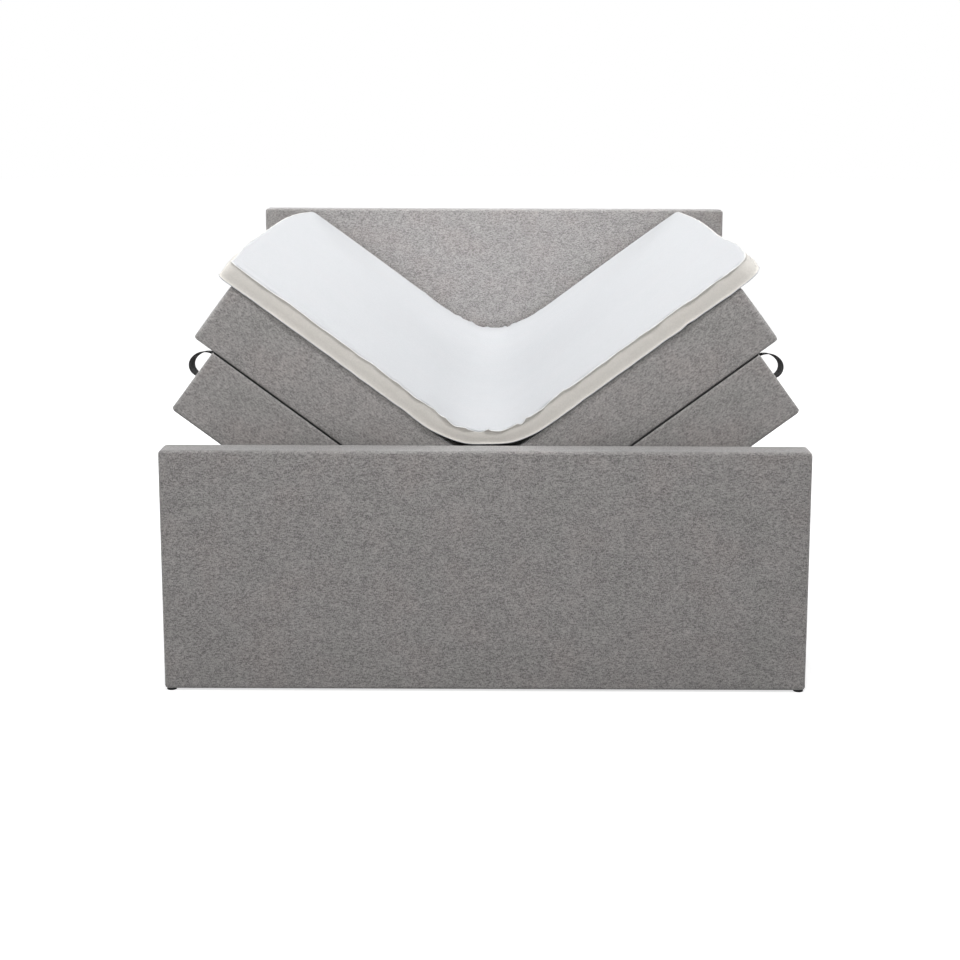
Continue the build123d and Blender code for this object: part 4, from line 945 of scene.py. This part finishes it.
# the seams' two sets of random waves: seed, shortest and longest wave
RIPPLE_WAVES, RISE_WAVES = (22, 0.05, 0.24), (57, 0.06, 0.30)
PINCH_OUT, PINCH_UP = 0.0030, 0.0040
FOLD_OUT, FOLD_BESIDE_SEAM, FOLD_SHIFT_AT_HEAD = 0.5, 0.75, 0.04
# these set in at the first distance from the middle of the bed, over the second
BOW_REACH, EDGE_REACH, LOWER_SEAM_REACH = (0.45, 0.45), (0.55, 0.35), (0.70, 0.20)
WORN_REACH_X, WORN_REACH_Y = (0.80, 0.10), (0.90, 0.10)
BOW_OUT, BOW_UP, LOWER_SEAM_OUT, CORNER_WORN = 0.010, 0.009, 0.012, 0.020
# how unevenly the long edges lie: bells by height, place along the bed and half width
EDGE_BELLS = {-1: ((0.010, 0.35, 0.45), (-0.008, 1.0, 0.20), (-0.018, -1.0, 0.25)),
              1: ((0.008, 0.25, 0.50), (0.018, -0.72, 0.25))}
TOP_UNEVEN, UNEVEN_FROM_EDGE, UNEVEN_FROM_MIDDLE = 0.0016, 0.05, 0.06
# the cover pushed up beside the bend at the head end: height, place and half width
HEAD_PUSH_UP = (0.009, 0.13, 0.06)
# how much less the foam is pressed together at the head end, and how far that reaches in bends
HEAD_RISE, SQUEEZE_REACH = 0.021, 1.25
# the wall's rows in which the flanges lie, and those of the lip between band and panel, whose cloth is
# painted lighter: a painted highlight
LOWER_FLANGE_ROWS, UPPER_FLANGE_ROWS, LIP_HIGHLIGHT_ROWS = (1, 3), (11, 15), (13, 15)


def bent_over(side, x, y, up):
    """A point of the flat topper, laid over the open lids.

    Within the bend, the distance from the middle becomes an angle about the bend's centre and the
    height a smaller radius. Beyond it, the point turns about the flap's pivot."""
    angle = x / BEND_MIDDLE_RADIUS
    radius = TOPPER_BEND_RADIUS - up
    bend_x, bend_z = radius * np.sin(angle), BEND_CENTRE_Z - radius * np.cos(angle)
    over_x, over_z = x - FLAP_PIVOT_X, TOPPER_BOTTOM + up - FLAP_PIVOT_Z
    flap_x = FLAP_PIVOT_X + over_x * math.cos(TURN) - over_z * math.sin(TURN)
    flap_z = FLAP_PIVOT_Z + over_x * math.sin(TURN) + over_z * math.cos(TURN)
    bent = x < BEND_CLOSED_X
    return np.stack((side * np.where(bent, bend_x, flap_x), y, np.where(bent, bend_z, flap_z)), -1)


def seam_ripple(length, seed, shortest, longest, count=9):
    """The waviness of a sewn edge along its length, about -1 to 1: sines of random lengths."""
    draw = np.random.default_rng(seed)
    total = np.zeros_like(length)
    for _ in range(count):
        wave_length = draw.uniform(shortest, longest)
        total += np.sin(length * 2 * math.pi / wave_length + draw.uniform(0, 2 * math.pi))
    return total / math.sqrt(count)


def knitted_cloth(name, colour, knit, relief):
    """Close stretch cloth: a fine even knit and a faint drift of tone."""
    dark, light = [(*np.minimum(np.multiply(colour, tone), 1.0), 1) for tone in (0.93, 1.04)]
    values = {"Yarn": knit, "Dark": dark, "Light": light, "Slub": 0.25, "Patch": 0.12}
    return patterned(name, WEAVE, values, 0.85, relief, 0.0004, Sheen_Weight=0.25, Sheen_Roughness=0.4,
                     Specular_IOR_Level=0.3)[0]


def bump_at(value, middle, width):
    """A bell of height 1 about the middle: e to the minus square of the distance over the width."""
    return np.exp(-((value - middle) / width) ** 2)


def sharpen(piece, chosen):
    """Marks the edges between chosen points as sharp, so that the shading breaks there."""
    mesh = piece.data
    ends = np.empty(len(mesh.edges) * 2, np.int32)
    mesh.edges.foreach_get("vertices", ends)
    sharp = np.asarray(chosen)[ends.reshape(-1, 2)].all(1)
    marks = mesh.attributes.get("sharp_edge") or mesh.attributes.new("sharp_edge", "BOOLEAN", "EDGE")
    marks.data.foreach_set("value", sharp)


def eased(value, start, width):
    """The square of how far a value is from start to start plus width, held between 0 and 1."""
    return np.clip((value - start) / width, 0, 1) ** 2


TOPPER_WHITE = knitted_cloth("topper_white_knit", (0.645, 0.658, 0.679), 0.0011, 0.25)
TOPPER_BAND = knitted_cloth("topper_cream_band", (0.830, 0.797, 0.745), 0.0016, 0.45)
# the lip's cloth is painted lighter than the panel's: a painted highlight along the seam
TOPPER_LIP_HIGHLIGHT = knitted_cloth("topper_seam_painted_highlight", (0.860, 0.855, 0.835), 0.0011, 0.25)

for side_name, side in SIDES:
    half_x = (TOPPER_HALF_WIDTH - PANEL_INSET) / 2
    points, quads, uv, place = wrapped_form(
        half_x, TOPPER_HALF_LENGTH - PANEL_INSET, TOPPER_CORNER_RADIUS, TOPPER_PROFILE, TOPPER_CELL,
        square_start=True)
    flat_x, flat_y, up = points[:, 0] + half_x, points[:, 1], points[:, 2]
    signed_x = side * flat_x
    row, on_top = place["row"], place["row"] == -2
    upper_flange = (row >= UPPER_FLANGE_ROWS[0]) & (row <= UPPER_FLANGE_ROWS[1])
    lower_flange = (row >= LOWER_FLANGE_ROWS[0] - 1) & (row <= LOWER_FLANGE_ROWS[1])
    on_end = np.abs(place["away"][:, 1]) > 0.5
    # the flanges wave along the whole outline, in step at the middle of the bed. Each edge takes its
    # own stretch of the waves.
    long_way = np.where(on_end, signed_x + 3.0 * np.sign(flat_y), flat_y * side + 7.0)
    calm = np.where(on_end, 1.0, LONG_SIDE_WAVE)
    ripple, rise = [calm * seam_ripple(long_way, *waves) for waves in (RIPPLE_WAVES, RISE_WAVES)]
    fold_x = signed_x + (flat_y > 0) * FOLD_SHIFT_AT_HEAD
    folds = sum(height * np.clip(1 - np.abs(fold_x - spot) / reach, 0, 1)
                for spot, reach, height in UPPER_KINKS)
    beside_seam = ((row > UPPER_FLANGE_ROWS[1]) & on_end) | (
        on_top & (np.abs(flat_y) > TOPPER_HALF_LENGTH - PANEL_INSET - 1e-4))
    pinch = on_end * bump_at(signed_x * np.sign(-flat_y), *LOWER_PINCH)
    out = (upper_flange * (UPPER_WAVE[0] * ripple + FOLD_OUT * on_end * folds)
           + lower_flange * (LOWER_WAVE[0] * rise + PINCH_OUT * pinch))
    flat_x, flat_y = flat_x + place["away"][:, 0] * out, flat_y + place["away"][:, 1] * out
    up = (up + upper_flange * (UPPER_WAVE[1] * rise + on_end * folds) + beside_seam * FOLD_BESIDE_SEAM * folds
          + lower_flange * (LOWER_WAVE[1] * ripple + PINCH_UP * pinch))
    # the long outer edge bows up and outwards between its corners, where the cover pulls least
    bow = (1 - (flat_y / TOPPER_HALF_LENGTH) ** 2) * eased(flat_x, *BOW_REACH)
    flat_x, up = flat_x + BOW_OUT * bow, up + BOW_UP * bow
    # its ends lie unevenly, and the corner at the foot end on the right is worn round
    uneven = sum(height * bump_at(flat_y, spot, reach) for height, spot, reach in EDGE_BELLS[side])
    if side > 0:
        worn = CORNER_WORN * eased(flat_x, *WORN_REACH_X) * eased(-flat_y, *WORN_REACH_Y)
        flat_x, flat_y = flat_x - worn, flat_y + worn
    flat_x = flat_x + uneven * eased(flat_x, *EDGE_REACH)
    # its lower seam stands out further than its upper one, since the slab is bent
    flat_x = flat_x + LOWER_SEAM_OUT * (1 - up / TOPPER_THICKNESS) * eased(flat_x, *LOWER_SEAM_REACH)
    # the foam is pressed together where it bends
    squeeze = ((TOPPER_SQUEEZE - HEAD_RISE * (1 + flat_y / TOPPER_HALF_LENGTH) / 2)
               * np.cos(np.clip(flat_x / (BEND_CLOSED_X * SQUEEZE_REACH), 0, 1) * math.pi / 2) ** 2)
    up = up * (1 - squeeze / TOPPER_THICKNESS)
    # the padding is uneven, but not in the bend or near the edges
    edge_gap = np.minimum(TOPPER_HALF_WIDTH - flat_x, TOPPER_HALF_LENGTH - np.abs(flat_y))
    inner = 1 - np.exp(-np.maximum(edge_gap, 0) / UNEVEN_FROM_EDGE)
    clear = np.clip(flat_x / UNEVEN_FROM_MIDDLE, 0, 1)
    fade = clear * clear * (3 - 2 * clear)
    up = up + on_top * fade * inner * TOP_UNEVEN * drift_waves(flat_x, flat_y, 31 + side)
    # at the head end the cover is pushed up on both sides of the bend
    height, spot, reach = HEAD_PUSH_UP
    up = up + height * (up / TOPPER_THICKNESS) * np.clip(flat_y, 0, 1) * bump_at(flat_x, spot, reach)
    # a crease in the cover slants to the foot end's left corner, and two soft ones run beside its edge
    from_foot = flat_y + TOPPER_HALF_LENGTH
    slant = FOOT_SLANT[0] * np.clip(-signed_x - FOOT_SLANT[1], 0, FOOT_SLANT[2])
    for (depth, from_edge, width, spot, reach), turned in zip(FOOT_CREASES, (slant, 0, 0)):
        ridge = bump_at(from_foot, from_edge + turned, width) * bump_at(signed_x, spot, reach)
        up = up + on_top * depth * ridge
    # the foam sinks a little towards its edges with the crowned mattress below
    share_x, share_y = flat_x / TOPPER_HALF_WIDTH * 2 - 1, flat_y / TOPPER_HALF_LENGTH
    sink = MATTRESS_CROWN * (1 - (1 - np.clip(share_x, 0, 1) ** 2) * (1 - share_y ** 2 / 2))
    up = up - sink * fade
    wall_row = place["wall_row"]
    band_rows = (wall_row >= LOWER_FLANGE_ROWS[1] + 1) & (wall_row <= UPPER_FLANGE_ROWS[0] + 1)
    lip_highlight_rows = (wall_row >= LIP_HIGHLIGHT_ROWS[0]) & (wall_row <= LIP_HIGHLIGHT_ROWS[1])
    topper = new_mesh(f"topper_{side_name}_half", bent_over(side, flat_x, flat_y, up),
                      *facing_out(side, quads, uv), [TOPPER_WHITE, TOPPER_BAND, TOPPER_LIP_HIGHLIGHT],
                      band_rows + 2 * lip_highlight_rows)
    sharpen(topper, place["x"] <= -half_x + 1e-6)
    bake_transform(topper)
    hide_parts(f"topper_cover_{side_name}", f"topper_foam_{side_name}",
                "topper_cover_middle", "topper_foam_middle")

# The room for the picture: a plain pale floor and a white surround, soft light from above and in
# front, and the camera at the photograph's height and angle.
floor_steps = np.linspace(0, 2 * math.pi, 65)[:-1]
floor_ring = np.stack((30 * np.cos(floor_steps), 30 * np.sin(floor_steps), np.zeros(64)), -1)
floor_mesh = bpy.data.meshes.new("floor")
floor_mesh.from_pydata(floor_ring.tolist(), [], [list(range(64))])
floor = bpy.data.objects.new("floor", floor_mesh)
bpy.context.scene.collection.objects.link(floor)
floor_material, floor_tree, floor_shader = new_material("pale_floor", 0.9)
floor_shader.inputs["Base Color"].default_value = (0.5, 0.5, 0.5, 1)
floor_shader.inputs["Specular IOR Level"].default_value = 0.0
pale = new_node(floor_tree, "ShaderNodeBsdfDiffuse", {"Color": (0.62, 0.62, 0.62, 1)})
floor_place = new_node(floor_tree, "ShaderNodeNewGeometry").outputs["Position"]
far_away = new_node(floor_tree, "ShaderNodeVectorMath", {0: floor_place}, operation="LENGTH").outputs["Value"]
glow_strength = stretch(floor_tree, far_away, 1.5, 4.0, 0.68, 1.0)
glow = new_node(floor_tree, "ShaderNodeEmission", {"Color": (1, 1, 1, 1), "Strength": glow_strength})
bright = new_node(floor_tree, "ShaderNodeAddShader", {0: pale.outputs[0], 1: glow.outputs[0]})
ray = new_node(floor_tree, "ShaderNodeLightPath")
floor_mix = new_node(floor_tree, "ShaderNodeMixShader", {
    0: ray.outputs["Is Camera Ray"], 1: floor_shader.outputs[0], 2: bright.outputs[0]})
floor_tree.links.new(floor_mix.outputs[0], floor_tree.nodes["Material Output"].inputs["Surface"])
floor_mesh.materials.append(floor_material)

world = bpy.data.worlds.new("white_room")
bpy.context.scene.world = world
world.use_nodes = True
room = world.node_tree
background = room.nodes["Background"]
background.inputs["Color"].default_value = (1, 1, 1, 1)
background.inputs["Strength"].default_value = 0.1
seen = new_node(room, "ShaderNodeBackground", {"Color": (1, 1, 1, 1), "Strength": 1.0})
path = new_node(room, "ShaderNodeLightPath")
shown = new_node(room, "ShaderNodeMixShader", {0: path.outputs["Is Camera Ray"],
                                               1: background.outputs[0], 2: seen.outputs[0]})
room.links.new(shown.outputs[0], room.nodes["World Output"].inputs["Surface"])


def soft_light(name, kind, place, towards, power, size):
    """A lamp at a place, turned to look towards a point."""
    lamp = bpy.data.lights.new(name, kind)
    lamp.energy = power
    if kind == "AREA":
        lamp.shape = "RECTANGLE"
        lamp.size, lamp.size_y = size
    else:
        lamp.shadow_soft_size = size
    made = bpy.data.objects.new(name, lamp)
    made.location = place
    aim = np.subtract(towards, place)
    made.rotation_mode = "QUATERNION"
    made.rotation_quaternion = Vector(aim).to_track_quat("-Z", "Y")
    made.visible_camera = False
    bpy.context.scene.collection.objects.link(made)
    return made


soft_light("overhead", "AREA", (0, 0.8, 4.2), (0, 0.4, 0), 92, (3.0, 2.4))
soft_light("front", "AREA", (-0.4, -5.2, 3.4), (0, -1.0, 0.9), 80, (3.0, 1.6))
soft_light("front_top", "AREA", (0, -2.5, 4.3), (0, -1.0, 0.6), 72, (1.6, 0.5))
soft_light("low_back", "AREA", (0, 4.6, 1.9), (0, -1.0, 0.7), 40, (3.4, 1.0))
soft_light("left_strip", "AREA", (-3.6, 0.0, 1.6), (-0.7, 0, 0.8), 36, (1.0, 2.4))
soft_light("right_strip", "AREA", (3.6, 0.0, 1.6), (0.7, 0, 0.8), 36, (1.0, 2.4))
head_spot = soft_light("head_board_spot", "SPOT", (0, -1.3, 2.4), (0, 1.02, 1.05), 63, 0.25)
head_spot.data.spot_size = math.radians(40)
head_spot.data.spot_blend = 1.0

camera_data = bpy.data.cameras.new("camera")
camera_data.sensor_width = 36
camera_data.lens = 62.28
camera_data.shift_x = -0.0338
camera_data.shift_y = -0.12
camera = bpy.data.objects.new("camera", camera_data)
tilt = Matrix.Rotation(math.radians(90 - 9.156), 4, "X") @ Matrix.Rotation(math.radians(0.205), 4, "Z")
camera.matrix_world = Matrix.Translation((0.0755, -5.6692, 1.6861)) @ tilt
bpy.context.scene.collection.objects.link(camera)
bpy.context.scene.camera = camera
bpy.context.scene.view_settings.view_transform = "Standard"
